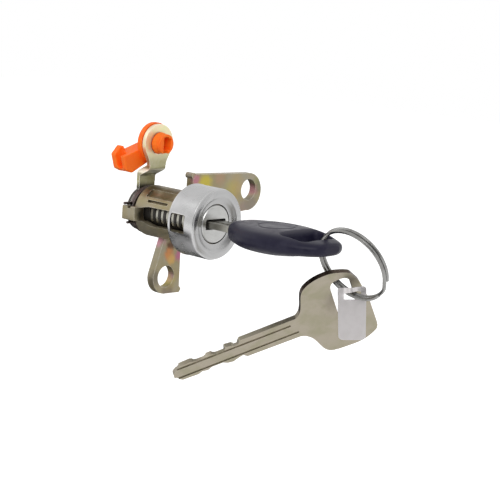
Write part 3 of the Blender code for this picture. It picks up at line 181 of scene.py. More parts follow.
# Its bow: where it begins along the key and how softly the smoothing sets in, the box of its slot
# (along from, to, across from, to), the outline's point spacing, rounds of smoothing, their share
BOW_START = 27 * MM
BOW_BLEND = 2 * MM
BOW_SLOT = (40 * MM, 55 * MM, -37.0 * MM, -9.5 * MM)
BOW_STEP = 0.5 * MM
BOW_ROUNDS = 24
BOW_SHARE = 0.7
RIM_MATCH = 0.2                      # a face of the rim matches the facing less than this
FLAT_MATCH = 0.98                    # a flat face matches it more than this

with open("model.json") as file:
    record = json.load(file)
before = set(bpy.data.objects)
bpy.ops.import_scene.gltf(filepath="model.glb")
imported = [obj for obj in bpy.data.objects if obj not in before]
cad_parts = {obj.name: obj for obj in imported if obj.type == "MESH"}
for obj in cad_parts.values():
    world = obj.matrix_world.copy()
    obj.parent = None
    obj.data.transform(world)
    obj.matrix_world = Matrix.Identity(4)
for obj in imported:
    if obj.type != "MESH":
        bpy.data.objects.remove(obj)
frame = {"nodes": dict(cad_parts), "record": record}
cad_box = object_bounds()


class Finish:
    """A Principled material, with short calls for the texture nodes that feed it."""

    def __init__(self, name, **values):
        self.material = bpy.data.materials.new(name)
        self.material.use_nodes = True
        self.nodes = self.material.node_tree.nodes
        self.links = self.material.node_tree.links
        self.shader = self.nodes["Principled BSDF"]
        self.place = self.nodes.new("ShaderNodeTexCoord").outputs["Object"]
        for socket, value in values.items():
            self.set(socket.replace("_", " ").title(), value)

    def set(self, socket, value):
        """Gives one of the shader's sockets a value or another node's output."""
        self.feed(self.shader.inputs[socket], value)

    def feed(self, socket, value):
        """Links an output to a socket, or gives the socket a plain value or colour."""
        if isinstance(value, bpy.types.NodeSocket):
            self.links.new(value, socket)
        elif isinstance(value, tuple) and len(value) == 3 and socket.type == "RGBA":
            socket.default_value = (*value, 1.0)
        else:
            socket.default_value = value

    def node(self, kind, inputs, **settings):
        """A new node with these settings and with values or outputs on its inputs."""
        node = self.nodes.new(kind)
        for name, value in settings.items():
            setattr(node, name, value)
        for socket, value in inputs.items():
            self.feed(node.inputs[socket], value)
        return node

    def math(self, operation, first, second=0.0):
        """A Math node on one or two values or outputs."""
        return self.node("ShaderNodeMath", {0: first, 1: second}, operation=operation).outputs[0]

    def spread(self, value, low, high, start=0.0, end=1.0):
        """Maps low..high of a value smoothly to start..end."""
        inputs = {
            "Value": value, "From Min": low, "From Max": high, "To Min": start, "To Max": end,
        }
        return self.node("ShaderNodeMapRange", inputs, interpolation_type="SMOOTHSTEP").outputs[0]

    def mix(self, factor, first, second):
        """A colour from the first to the second, by a factor from 0 to 1."""
        # The Mix node keeps its factor, colours and colour result at these places
        node = self.node("ShaderNodeMix", {}, data_type="RGBA")
        for place, value in ((0, factor), (6, first), (7, second)):
            self.feed(node.inputs[place], value)
        return node.outputs[2]

    def part(self, axis):
        """One coordinate of the place, in metres."""
        return self.node("ShaderNodeSeparateXYZ", {0: self.place}).outputs[axis]

    def along(self, direction):
        """The distance of the place along a direction, in metres."""
        inputs = {0: self.place, 1: tuple(direction)}
        return self.node("ShaderNodeVectorMath", inputs, operation="DOT_PRODUCT").outputs["Value"]

    def off_axis(self):
        """The distance of the place from the lock's turning axis, in metres."""
        inputs = {0: self.place, 1: (1.0, 0.0, 1.0)}
        flat = self.node("ShaderNodeVectorMath", inputs, operation="MULTIPLY").outputs[0]
        return self.node("ShaderNodeVectorMath", {0: flat}, operation="LENGTH").outputs["Value"]

    def noise(self, size, detail=3.0, stretch=(1.0, 1.0, 1.0), warp=0.0):
        """Noise from 0 to 1, its features about size across, longer where stretch is above 1."""
        scale = tuple(1.0 / (size * s) for s in stretch)
        inputs = {0: self.place, 1: scale}
        scaled = self.node("ShaderNodeVectorMath", inputs, operation="MULTIPLY").outputs[0]
        inputs = {
            "Vector": scaled, "Scale": 1.0, "Detail": detail, "Roughness": 0.55, "Distortion": warp,
        }
        return self.node("ShaderNodeTexNoise", inputs).outputs["Fac"]

    def lines(self, position, pitch):
        """Fine lines at about this pitch, as noise along one measure of the place."""
        steps = self.math("DIVIDE", position, pitch)
        inputs = {"W": steps, "Scale": 1.0, "Detail": 2.0, "Roughness": 0.6}
        return self.node("ShaderNodeTexNoise", inputs, noise_dimensions="1D").outputs["Fac"]

    def near(self, point, reach):
        """1 at a point and 0 past its reach, with a ragged border."""
        inputs = {0: self.place, 1: tuple(point)}
        away = self.node("ShaderNodeVectorMath", inputs, operation="DISTANCE").outputs["Value"]
        ragged = self.math("SUBTRACT", self.noise(reach * 0.5), 0.5)
        wander = self.math("MULTIPLY", ragged, reach * 0.7)
        return self.spread(self.math("ADD", away, wander), reach, reach * 0.25)

    def edges(self, width):
        """1 on outer and inner edges within about this width, 0 on the flats."""
        rounded = self.node("ShaderNodeBevel", {"Radius": width}, samples=4).outputs[0]
        normal = self.nodes.new("ShaderNodeNewGeometry").outputs["Normal"]
        inputs = {0: rounded, 1: normal}
        match = self.node("ShaderNodeVectorMath", inputs, operation="DOT_PRODUCT").outputs["Value"]
        return self.spread(match, 0.995, 0.86)

    def rim(self, facing):
        """1 on the narrow faces of a flat piece, 0 on its wide ones, which point this way."""
        normal = self.nodes.new("ShaderNodeTexCoord").outputs["Normal"]
        inputs = {0: normal, 1: tuple(facing)}
        match = self.node("ShaderNodeVectorMath", inputs, operation="DOT_PRODUCT").outputs["Value"]
        return self.spread(self.math("ABSOLUTE", match), 0.8, 0.4)

    def hollows(self, reach):
        """1 in corners and recesses within this reach of other surfaces, 0 in the open."""
        node = self.node("ShaderNodeAmbientOcclusion", {"Distance": reach}, samples=4)
        return self.spread(node.outputs["AO"], 0.9, 0.35)

    def bump(self, *layers):
        """Relief from (height, depth) pairs, each a value from 0 to 1 and a depth in metres."""
        normal = None
        for height, depth in layers:
            inputs = {"Height": height, "Distance": depth, "Strength": 1.0}
            node = self.node("ShaderNodeBump", inputs)
            if normal is not None:
                self.feed(node.inputs["Normal"], normal)
            normal = node.outputs["Normal"]
        self.set("Normal", normal)


def yellow_chromate(name):
    """Zinc casting with yellow chromate: olive and tan, with pink, yellow and orange patches, two
    dark patches of painted shade, a painted highlight on its edges and painted shade in its
    hollows.
    """
    finish = Finish(name, metallic=0.6)
    broad = finish.noise(9 * MM, detail=3.0, warp=0.6)
    fine = finish.noise(1.6 * MM, detail=4.0)
    grain = finish.noise(0.22 * MM, detail=2.0)
    color = finish.mix(finish.spread(broad, 0.32, 0.68), (0.26, 0.22, 0.115), (0.29, 0.265, 0.195))
    color = finish.mix(finish.spread(fine, 0.35, 0.75, 0.0, 0.45), color, (0.36, 0.285, 0.18))
    # Patches of its colours and of painted shade: place and reach in mm, colour, strength. Those
    # beyond x 8 are on the right ear, those below z -9 on the lower one; later ones lie over
    # earlier ones
    patches = (
        ((10.0, 1.5, 13.5), 2.2, (0.42, 0.41, 0.37), 0.6),
        ((12.6, 0.0, 11.6), 3.0, (0.42, 0.17, 0.21), 0.95),
        ((25.0, 0.0, 12.0), 4.0, (0.37, 0.22, 0.14), 0.55),
        ((31.5, 0.0, 7.5), 4.5, (0.33, 0.31, 0.085), 0.6),
        ((38.5, 0.0, -0.5), 4.5, (0.25, 0.185, 0.155), 0.7),
        ((46.5, 0.0, 9.5), 4.0, (0.23, 0.25, 0.10), 0.6),
        # Painted shade: nearly black at the rear of the housing's left side
        ((-7.5, 6.6, -0.6), 2.8, (0.03, 0.025, 0.015), 0.9),
        ((17.6, 0.0, 10.4), 4.8, (0.48, 0.395, 0.045), 0.9),
        ((45.0, 1.5, 6.5), 3.4, (0.33, 0.13, 0.16), 0.8),
        ((43.0, 0.0, 1.0), 5.0, (0.20, 0.17, 0.145), 0.7),
        ((47.5, 0.0, 8.0), 3.6, (0.19, 0.18, 0.115), 0.7),
        ((-1.6, 2.4, -9.6), 3.4, (0.58, 0.28, 0.34), 0.95),
        # Painted shadow under the cap, where the lower ear starts
        ((1.8, 0.0, -11.8), 2.8, (0.09, 0.035, 0.012), 0.9),
        ((1.2, 0.0, -14.6), 3.2, (0.47, 0.19, 0.06), 0.95),
        ((2.8, 0.0, -16.8), 2.8, (0.50, 0.30, 0.09), 0.9),
        ((6.6, 0.0, -15.6), 3.0, (0.38, 0.12, 0.20), 0.95),
        ((3.6, 2.0, -23.4), 2.6, (0.45, 0.20, 0.32), 0.85),
        ((2.0, 0.0, -28.4), 4.2, (0.18, 0.14, 0.105), 0.8),
        ((-4.6, 0.0, -23.0), 4.0, (0.14, 0.12, 0.09), 0.75),
        # These two make the barrel's top darker
        ((-3.0, -4.0, 9.0), 7.5, (0.095, 0.07, 0.03), 0.9),
        ((-3.0, 5.0, 9.0), 6.0, (0.095, 0.07, 0.03), 0.9),
        ((34.0, 3.0, 8.0), 7.0, (0.42, 0.29, 0.09), 0.6),
        ((22.0, 3.0, 5.0), 5.0, (0.40, 0.17, 0.22), 0.6),
        ((3.0, 3.0, -25.0), 5.0, (0.42, 0.34, 0.07), 0.6),
    )
    for place, reach, tint, strength in patches:
        cover = finish.near(Vector(place) * MM, reach * MM)
        color = finish.mix(finish.math("MULTIPLY", cover, strength), color, tint)
    # Painted highlight: a pale colour along the edges, patchy
    edge_highlight = finish.edges(0.35 * MM)
    patchy_edge_highlight = finish.math("MULTIPLY", edge_highlight, finish.spread(fine, 0.35, 0.6, 0.15, 0.8))
    color = finish.mix(patchy_edge_highlight, color, (0.66, 0.63, 0.56))
    # Painted shade: dark brown in corners and recesses
    hollow_shade = finish.math("MULTIPLY", finish.hollows(3 * MM), 0.7)
    color = finish.mix(hollow_shade, color, (0.075, 0.045, 0.02))
    finish.set("Base Color", color)
    finish.set("Roughness", finish.spread(fine, 0.25, 0.75, 0.34, 0.52))
    finish.bump((fine, 0.05 * MM), (grain, 0.012 * MM))
    return finish.material


def stainless_cap(name):
    """Turned and brushed stainless sheet: fine rings, faint smears, a few scratches, painted shade
    on the dished front and a painted highlight on its edges.
    """
    finish = Finish(name, metallic=1.0, anisotropic=0.3)
    rings = finish.lines(finish.off_axis(), 0.09 * MM)
    turned = finish.lines(finish.part("Y"), 0.11 * MM)
    smears = finish.noise(7 * MM, detail=2.0, warp=0.5)
    scratches = finish.noise(0.35 * MM, detail=2.0, stretch=(1.0, 14.0, 1.0))
    color = finish.mix(finish.spread(smears, 0.35, 0.7), (0.475, 0.475, 0.475), (0.52, 0.515, 0.52))
    color = finish.mix(finish.spread(turned, 0.45, 0.8, 0.0, 0.25), color, (0.36, 0.36, 0.365))
    # Painted shade: the dished front, inside the rim, is darker than the side
    front = finish.spread(finish.off_axis(), 12.3 * MM, 11.8 * MM, 0.0, 0.85)
    color = finish.mix(front, color, (0.385, 0.385, 0.385))
    # Painted highlight: near white along the edges
    edge_highlight = finish.math("MULTIPLY", finish.edges(0.3 * MM), 0.6)
    color = finish.mix(edge_highlight, color, (0.80, 0.79, 0.77))
    finish.set("Base Color", color)
    rough = finish.spread(smears, 0.3, 0.7, 0.25, 0.34)
    rough = finish.math("ADD", rough, finish.spread(scratches, 0.62, 0.8, 0.0, 0.1))
    finish.set("Roughness", rough)
    finish.bump((rings, 0.003 * MM), (turned, 0.002 * MM), (scratches, 0.0015 * MM))
    return finish.material


def plain_steel(name, color, rough, stain, stain_share=0.5, grain=0.25 * MM, facing=None):
    """Bare or oiled steel with stains, small dents and a painted highlight on its edges.

    A flat strip that gives the way it faces has a darker cut rim, deepened as painted shadow.
    """
    finish = Finish(name, metallic=1.0)
    broad = finish.noise(3.5 * MM, detail=4.0, warp=0.4)
    small = finish.noise(grain, detail=3.0)
    tint = finish.mix(finish.spread(broad, 0.4, 0.72, 0.0, stain_share), color, stain)
    # Painted highlight: a lighter tint along the edges
    edge_highlight_tint = tuple(min(1.0, c * 1.5 + 0.05) for c in color)
    tint = finish.mix(finish.math("MULTIPLY", finish.edges(0.2 * MM), 0.6), tint, edge_highlight_tint)
    if facing is not None:
        # Darker cut rim, deepened as painted shadow
        rim = finish.math("MULTIPLY", finish.rim(facing), 0.85)
        tint = finish.mix(rim, tint, (0.07, 0.065, 0.06))
    finish.set("Base Color", tint)
    finish.set("Roughness", finish.spread(small, 0.3, 0.7, rough - 0.06, rough + 0.1))
    finish.bump((broad, 0.02 * MM), (small, 0.008 * MM))
    return finish.material


def machined_face(name):
    """The bright disc round the keyway, with faint turned rings."""
    finish = Finish(name, metallic=1.0)
    rings = finish.lines(finish.off_axis(), 0.12 * MM)
    dull = finish.noise(2.5 * MM, detail=4.0)
    rubs = finish.noise(0.3 * MM, detail=2.0, stretch=(10.0, 10.0, 1.0))
    color = finish.mix(finish.spread(rings, 0.35, 0.7), (0.41, 0.41, 0.40), (0.49, 0.49, 0.48))
    color = finish.mix(finish.spread(dull, 0.5, 0.8, 0.0, 0.4), color, (0.36, 0.355, 0.34))
    finish.set("Base Color", color)
    finish.set("Roughness", finish.spread(rubs, 0.35, 0.75, 0.28, 0.42))
    finish.bump((rings, 0.006 * MM), (rubs, 0.003 * MM))
    return finish.material


def plated_lever(name):
    """Pressed steel with pale green-yellow plating, darker towards the lock and nearly black at its
    foot as painted shade, with painted light at its bend, a painted highlight on its edges and
    painted shade in its hollows.
    """
    finish = Finish(name, metallic=0.65)
    cloud = finish.noise(3.2 * MM, detail=4.0, warp=0.5)
    grain = finish.noise(0.2 * MM, detail=3.0)
    height = finish.part("Z")
    lower = finish.mix(finish.spread(cloud, 0.3, 0.7), (0.33, 0.315, 0.17), (0.42, 0.40, 0.27))
    upper = finish.mix(finish.spread(cloud, 0.35, 0.7), (0.80, 0.68, 0.46), (0.74, 0.74, 0.44))
    # Painted shade: nearly black below 7.5 mm, on the disc at the lock, blending into the plating
    # by 10 mm
    lower = finish.mix(finish.spread(height, 7.5 * MM, 10 * MM), (0.04, 0.034, 0.028), lower)
    color = finish.mix(finish.spread(height, 17 * MM, 23 * MM), lower, upper)
    # Painted light: a nearly white band from about 13 to 15 mm high, on the upward-facing ledge at
    # the bend
    above = finish.spread(height, 12.8 * MM, 13.6 * MM)
    bend = finish.math("MULTIPLY", above, finish.spread(height, 15.4 * MM, 14.6 * MM))
    color = finish.mix(finish.math("MULTIPLY", bend, 0.9), color, (1.0, 0.98, 0.82))
    # A green and a reddish patch on the eye
    green = finish.near(Vector((4.0, -5.5, 29.0)) * MM, 4 * MM)
    color = finish.mix(green, color, (0.62, 0.72, 0.32))
    reddish = finish.near(Vector((-5.5, -5.5, 27.0)) * MM, 2.6 * MM)
    color = finish.mix(reddish, color, (0.72, 0.50, 0.48))
    # Painted highlight: a pale colour along the edges
    edge_highlight = finish.math("MULTIPLY", finish.edges(0.45 * MM), 0.85)
    color = finish.mix(edge_highlight, color, (0.92, 0.90, 0.82))
    # Painted shade: darker in corners and recesses
    hollow_shade = finish.math("MULTIPLY", finish.hollows(2.0 * MM), 0.4)
    color = finish.mix(hollow_shade, color, (0.05, 0.045, 0.03))
    finish.set("Base Color", color)
    finish.set("Roughness", finish.spread(cloud, 0.3, 0.7, 0.3, 0.44))
    finish.bump((cloud, 0.03 * MM), (grain, 0.01 * MM))
    return finish.material


def moulded_nylon(name):
    """Orange nylon: a faintly uneven moulded skin, with painted shade in the corners and painted
    light on its edges.
    """
    finish = Finish(name, subsurface_weight=0.3, subsurface_scale=1.2 * MM)
    finish.set("Specular IOR Level", 0.3)
    flow = finish.noise(5 * MM, detail=2.0, warp=0.8)
    skin = finish.noise(0.28 * MM, detail=3.0)
    color = finish.mix(finish.spread(flow, 0.3, 0.7), (1.0, 0.15, 0.005), (1.0, 0.185, 0.01))
    # Painted shade: a deeper red in corners and recesses
    nylon_hollow_shade = finish.math("MULTIPLY", finish.hollows(2.2 * MM), 0.7)
    color = finish.mix(nylon_hollow_shade, color, (0.96, 0.075, 0.002))
    # Painted light: a paler orange along the edges
    thin = finish.math("MULTIPLY", finish.edges(0.3 * MM), 0.35)
    color = finish.mix(thin, color, (1.0, 0.30, 0.07))
    finish.set("Base Color", color)
    finish.set("Roughness", finish.spread(skin, 0.3, 0.7, 0.46, 0.6))
    finish.bump((flow, 0.03 * MM), (skin, 0.01 * MM))
    return finish.material


def moulded_head(name):
    """Dark navy plastic of the key's head, with a fine grain, a painted sheen on its high places, a
    faint painted highlight on its edges and painted shade in its hollows.
    """
    finish = Finish(name)
    finish.set("Specular IOR Level", 0.15)
    skin = finish.noise(0.24 * MM, detail=3.0)
    rubs = finish.noise(4.5 * MM, detail=4.0, warp=0.6)
    dust = finish.noise(0.5 * MM, detail=4.0)
    color = finish.mix(finish.spread(rubs, 0.35, 0.7), (0.012, 0.011, 0.026), (0.020, 0.019, 0.036))
    color = finish.mix(finish.spread(dust, 0.66, 0.8, 0.0, 0.3), color, (0.11, 0.11, 0.13))
    # Painted sheen: the highest part of each face is paler
    height = finish.math("ABSOLUTE", finish.part("Z"))
    painted_top_sheen = finish.spread(height, 2.7 * MM, 4.0 * MM, 0.0, 0.8)
    color = finish.mix(painted_top_sheen, color, (0.066, 0.062, 0.078))
    # Faint painted highlight along the edges
    edge_highlight = finish.math("MULTIPLY", finish.edges(0.5 * MM), 0.15)
    color = finish.mix(edge_highlight, color, (0.07, 0.07, 0.10))
    # Painted shade: nearly black in corners and recesses
    color = finish.mix(finish.hollows(1.6 * MM), color, (0.003, 0.003, 0.006))
    finish.set("Base Color", color)
    finish.set("Roughness", finish.spread(rubs, 0.3, 0.7, 0.34, 0.5))
    finish.bump((skin, 0.012 * MM), (rubs, 0.03 * MM))
    return finish.material


def milled_key(name, grain_direction, color, stain, facing=None):
    """Nickel-plated brass key: lines along the blade, brassy stains and a painted highlight on its
    edges.

    A key that gives the way it faces has a dark rim round its bow: a cut edge, deepened as painted
    shade.
    """
    finish = Finish(name, metallic=1.0)
    side = Vector(grain_direction).cross(Vector((0.3, 0.2, 0.93))).normalized()
    strokes = finish.lines(finish.along(side), 0.07 * MM)
    long_noise = finish.noise(5 * MM, detail=2.5, warp=0.3)
    small = finish.noise(0.3 * MM, detail=3.0)
    tint = finish.mix(finish.spread(long_noise, 0.35, 0.7), color, stain)
    shaded = tuple(c * 0.7 for c in color)
    tint = finish.mix(finish.spread(strokes, 0.5, 0.85, 0.0, 0.35), tint, shaded)
    # Painted highlight: a brighter tint along the edges
    bright = tuple(min(1.0, c * 1.35 + 0.06) for c in color)
    tint = finish.mix(finish.math("MULTIPLY", finish.edges(0.22 * MM), 0.7), tint, bright)
    if facing is not None:
        # Dark cut rim round the bow, deepened as painted shade
        bow = finish.spread(finish.along(grain_direction), BOW_START, 31 * MM, 0.0, 0.9)
        rim = finish.math("MULTIPLY", finish.rim(facing), bow)
        tint = finish.mix(rim, tint, (0.045, 0.024, 0.017))
    finish.set("Base Color", tint)
    finish.set("Roughness", finish.spread(small, 0.3, 0.75, 0.3, 0.44))
    finish.bump((strokes, 0.004 * MM), (small, 0.006 * MM))
    return finish.material


# The finish of each material slot; the finish's own name is the slot's with "_look"
FINISHES = {
    "housing_chromate": yellow_chromate("housing_chromate_look"),
    "cap_stainless": stainless_cap("cap_stainless_look"),
    "spring_steel": plain_steel(
        "spring_steel_look", (0.12, 0.095, 0.09), 0.36, (0.05, 0.042, 0.035)),
    "plug_zinc": plain_steel(
        "plug_zinc_look", (0.07, 0.066, 0.062), 0.48, (0.03, 0.028, 0.026), 0.7),
    "bright_face": machined_face("bright_face_look"),
    "wafer_brass": plain_steel(
        "wafer_brass_look", (0.43, 0.42, 0.37), 0.34, (0.20, 0.18, 0.14), 0.6, 0.12 * MM),
    "small_spring": plain_steel(
        "small_spring_look", (0.27, 0.265, 0.25), 0.3, (0.12, 0.11, 0.09), 0.5, 0.1 * MM),
    "shutter_steel": plain_steel(
        "shutter_steel_look", (0.42, 0.42, 0.42), 0.34, (0.22, 0.21, 0.20)),
    "lever_plated": plated_lever("lever_plated_look"),
    "washer_steel": plain_steel(
        "washer_steel_look", (0.36, 0.35, 0.33), 0.4, (0.15, 0.13, 0.10)),
    "oiled_steel": plain_steel(
        "oiled_steel_look", (0.11, 0.10, 0.095), 0.34, (0.20, 0.14, 0.08), 0.4),
    "orange_nylon": moulded_nylon("orange_nylon_look"),
    "nickel_blade": milled_key(
        "nickel_blade_look", (0, 1, 0), (0.37, 0.365, 0.33), (0.30, 0.285, 0.235)),
    "navy_plastic": moulded_head("navy_plastic_look"),
    "ring_steel": plain_steel(
        "ring_steel_look", (0.27, 0.268, 0.26), 0.26, (0.15, 0.145, 0.135), 0.6, 0.15 * MM),
    "tag_metal": plain_steel(
        "tag_metal_look", (0.60, 0.575, 0.575), 0.34, (0.51, 0.485, 0.48), 0.4, 0.2 * MM,
        TAG_FACING),
    "nickel_key": milled_key(
        "nickel_key_look", SPARE_ALONG, (0.335, 0.30, 0.24), (0.285, 0.265, 0.19), SPARE_FACING),
}


def finish_frame():
    """Gives every CAD node the finish of its record slot."""
    for node in frame["nodes"].values():
        for place in node.material_slots:
            place.material = FINISHES[place.material.name]


def in_scene(piece):
    """Links an object to the scene."""
    bpy.context.scene.collection.objects.link(piece)
    return piece


def welded_mesh(node, name):
    """A CAD node's surface as one closed mesh, its flat faces joined up again."""
    source = frame["nodes"][node].data
    points = [v.co[:] for v in source.vertices]
    faces = [p.vertices[:] for p in source.polygons]
    mesh = bpy.data.meshes.new(name)
    mesh.from_pydata(points, [], faces)
    surface = bmesh.new()
    surface.from_mesh(mesh)
    bmesh.ops.remove_doubles(surface, verts=surface.verts, dist=WELD)
    bmesh.ops.dissolve_limit(
        surface, angle_limit=FLAT_ANGLE, use_dissolve_boundaries=False,
        verts=surface.verts, edges=surface.edges,
    )
    surface.to_mesh(mesh)
    surface.free()
    return mesh


def body_of(node):
    """The body that the record gives a node."""
    bodies = frame["record"]["behaviour"]["bodies"]
    return next(body for body, members in bodies.items() if node in members)


def slot_of(node):
    """The material slot that the record gives a node."""
    return next(p["material_slot"] for p in frame["record"]["subparts"] if p["node"] == node)


def stand_for(piece, node):
    """Gives a piece the finish and body of the CAD node that it replaces."""
    slot = slot_of(node)
    piece.data.materials.clear()
    piece.data.materials.append(FINISHES[slot])
    in_scene(piece)
    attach(piece, body_of(node))
    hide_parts(node)
    return piece


def ease_bow(mesh):
    """Rounds the corners of the spare key's bow by smoothing its outline; blade and slot stay."""
    along = Vector(SPARE_ALONG)
    surface = bmesh.new()
    surface.from_mesh(mesh)

    def outline_edges():
        """Edges between a flat face and the rim."""
        found = []
        for edge in surface.edges:
            if len(edge.link_faces) == 2:
                matches = sorted(abs(face.normal.dot(SPARE_FACING)) for face in edge.link_faces)
                if matches[0] < RIM_MATCH and matches[1] > FLAT_MATCH:
                    found.append(edge)
        return found

    surface.normal_update()
    for edge in outline_edges():
        cuts = int(edge.calc_length() / BOW_STEP)
        if cuts > 0 and min(v.co.dot(along) for v in edge.verts) > BOW_START:
            bmesh.ops.subdivide_edges(surface, edges=[edge], cuts=cuts)
    surface.normal_update()
    beside = {}
    for edge in outline_edges():
        for v, other in (edge.verts, reversed(edge.verts)):
            beside.setdefault(v, []).append(other)
    inner = {v for v in beside if BOW_SLOT[0] < v.co.dot(along) < BOW_SLOT[1]}
    across = SPARE_FACING.cross(along)
    inner = {v for v in inner if BOW_SLOT[2] < v.co.dot(across) < BOW_SLOT[3]}
    for _ in range(BOW_ROUNDS):
        moved = {}
        for v, near in beside.items():
            if v not in inner and len(near) == 2:
                share = min(1.0, max(0.0, (v.co.dot(along) - BOW_START) / BOW_BLEND))
                moved[v] = v.co.lerp((near[0].co + near[1].co) / 2, BOW_SHARE * share)
        for v, place in moved.items():
            v.co = place
    surface.to_mesh(mesh)
    surface.free()


def round_edges(piece, width, segments=2):
    """Rounds a piece's sharp edges and shades its curved faces smooth."""
    for face in piece.data.polygons:
        face.use_smooth = True
    rounding = piece.modifiers.new("rounding", "BEVEL")
    rounding.width = width
    rounding.segments = segments
    rounding.limit_method = "ANGLE"
    rounding.angle_limit = SHARP_ANGLE
    rounding.harden_normals = True


def rounded_copy(node, width, segments=2):
    """The node's own shape with its edges rounded, and the spare key's bow eased."""
    piece = bpy.data.objects.new(node + "_fine", welded_mesh(node, node + "_fine"))
    if node == "spare_key":
        ease_bow(piece.data)
    round_edges(piece, width, segments)
    return stand_for(piece, node)


def soften(piece, voxel, rounds):
    """Gives a piece one even skin and melts its edges round."""
    remesh = piece.modifiers.new("skin", "REMESH")
    remesh.mode = "VOXEL"
    remesh.voxel_size = voxel
    remesh.use_smooth_shade = True
    smooth = piece.modifiers.new("soften", "SMOOTH")
    smooth.factor = 0.5
    smooth.iterations = rounds


def between(rows, where):
    """A smooth curve through rows of (place, value, value ...), read at one place."""
    last = len(rows) - 2
    i = next((k for k in range(last) if where < rows[k + 1][0]), last)
    places = (i - 1, i, i + 1, i + 2)
    before, start, end, after = (rows[max(0, min(k, len(rows) - 1))] for k in places)
    step = end[0] - start[0]
    t = (where - start[0]) / step
    values = []
    for k in range(1, len(start)):
        slope_in = (end[k] - before[k]) / (end[0] - before[0]) * step
        slope_out = (after[k] - start[k]) / (after[0] - start[0]) * step
        values.append(
            (2 * t ** 3 - 3 * t ** 2 + 1) * start[k] + (t ** 3 - 2 * t ** 2 + t) * slope_in
            + (3 * t ** 2 - 2 * t ** 3) * end[k] + (t ** 3 - t ** 2) * slope_out
        )
    return values


def lofted(name, rings):
    """A closed body through rings of points, each ring with the same number of them."""
    count = len(rings[0])
    points = [point for ring in rings for point in ring]
    faces = [tuple(range(count))[::-1], tuple(range(len(points) - count, len(points)))]
    for r in range(len(rings) - 1):
        for k in range(count):
            n = (k + 1) % count
            low, high = r * count, (r + 1) * count
            faces.append((low + k, low + n, high + n, high + k))
    mesh = bpy.data.meshes.new(name)
    mesh.from_pydata(points, [], faces)
    surface = bmesh.new()
    surface.from_mesh(mesh)
    bmesh.ops.recalc_face_normals(surface, faces=surface.faces)
    surface.to_mesh(mesh)
    surface.free()
    return in_scene(bpy.data.objects.new(name, mesh))


def carve(piece, cutters, operation="DIFFERENCE"):
    """Cuts bodies out of a piece, or joins them to it, and removes them."""
    for cutter in cutters:
        cutting = piece.modifiers.new("carve", "BOOLEAN")
        cutting.operation = operation
        cutting.solver = "EXACT"
        cutting.object = cutter
    graph = bpy.context.evaluated_depsgraph_get()
    mesh = bpy.data.meshes.new_from_object(piece.evaluated_get(graph))
    piece.modifiers.clear()
    piece.data = mesh
    for cutter in cutters:
        bpy.data.objects.remove(cutter)


def head_height(across, forward):
    """Height of the head's upper skin over its middle plane."""
    half_width, half_thick = between(HEAD_SECTIONS, forward - HEAD_ROOT)
    c = min(1.0, abs(across) / half_width) ** (1 / HEAD_ACROSS_POWER)
    return half_thick * math.sqrt(1 - c * c) ** HEAD_UP_POWER


def rounded_corners(corners):
    """Outline from (x, y, radius) corners, each rounded by a short curve."""
    points = []
    for i, (x, y, radius) in enumerate(corners):
        here = Vector((x, y))
        before = (Vector(corners[i - 1][:2]) - here).normalized() * radius
        after = (Vector(corners[(i + 1) % len(corners)][:2]) - here).normalized() * radius
        for k in range(CORNER_STEPS + 1):
            t = k / CORNER_STEPS
            points.append(here + before * (1 - t) ** 2 + after * t ** 2)
    return points


def head_rings():
    """The head's sections from root to tail, each a rounded box."""
    rings = []
    for r in range(HEAD_RINGS + 1):
        forward = HEAD_SECTIONS[-1][0] * r / HEAD_RINGS
        half_width, half_thick = between(HEAD_SECTIONS, forward)
        ring = []
        for k in range(HEAD_POINTS):
            angle = math.tau * (k + 0.5) / HEAD_POINTS
            c, s = math.cos(angle), math.sin(angle)
            across = half_width * math.copysign(abs(c) ** HEAD_ACROSS_POWER, c)
            up = half_thick * math.copysign(abs(s) ** HEAD_UP_POWER, s)
            ring.append((across, -(HEAD_ROOT + forward), up))
        rings.append(ring)
    return rings


def slot_rings():
    """The slot's outline at each height through the head, flared towards both faces."""
    rings = []
    for level in range(CUTTER_LEVELS):
        height = (level / (CUTTER_LEVELS - 1) * 2 - 1) * CUTTER_HALF
        flare = FLARE * abs(height / FLARE_HEIGHT) ** FLARE_POWER
        half = SLOT_HALF + flare
        narrow = half - SLOT_TAPER
        near, far = SLOT_NEAR - flare, SLOT_FAR + flare * FLARE_FAR_SHARE
        corners = [(-half, -near, SLOT_CORNER), (half, -near, SLOT_CORNER)]
        corners += [(narrow, -far, SLOT_CORNER), (-narrow, -far, SLOT_CORNER)]
        rings.append([(p.x, p.y, height) for p in rounded_corners(corners)])
    return rings


def pocket_rings():
    """The two ends of the pocket for the blade's tang."""
    half_width, half_thick = POCKET_HALF
    corners = ((-half_width, -half_thick), (half_width, -half_thick), (half_width, half_thick))
    corners += ((-half_width, half_thick),)
    return [[(x, -(HEAD_ROOT + end), z) for x, z in corners] for end in POCKET_ENDS]


def emblem_groove(side):
    """A tube along the oval on one face of the head."""
    curve = bpy.data.curves.new("groove", "CURVE")
    curve.dimensions = "3D"
    curve.bevel_depth = EMBLEM_GROOVE
    curve.bevel_resolution = 2
    spline = curve.splines.new("POLY")
    spline.points.add(EMBLEM_POINTS - 1)
    for i, point in enumerate(spline.points):
        angle = math.tau * i / EMBLEM_POINTS
        across = EMBLEM_HALF[0] * math.cos(angle)
        forward = EMBLEM_CENTRE + EMBLEM_HALF[1] * math.sin(angle)
        point.co = (across, -forward, head_height(across, forward) * side, 1.0)
    spline.use_cyclic_u = True
    tube = in_scene(bpy.data.objects.new("groove", curve))
    graph = bpy.context.evaluated_depsgraph_get()
    mesh = bpy.data.meshes.new_from_object(tube.evaluated_get(graph))
    bpy.data.objects.remove(tube)
    return in_scene(bpy.data.objects.new("groove", mesh))


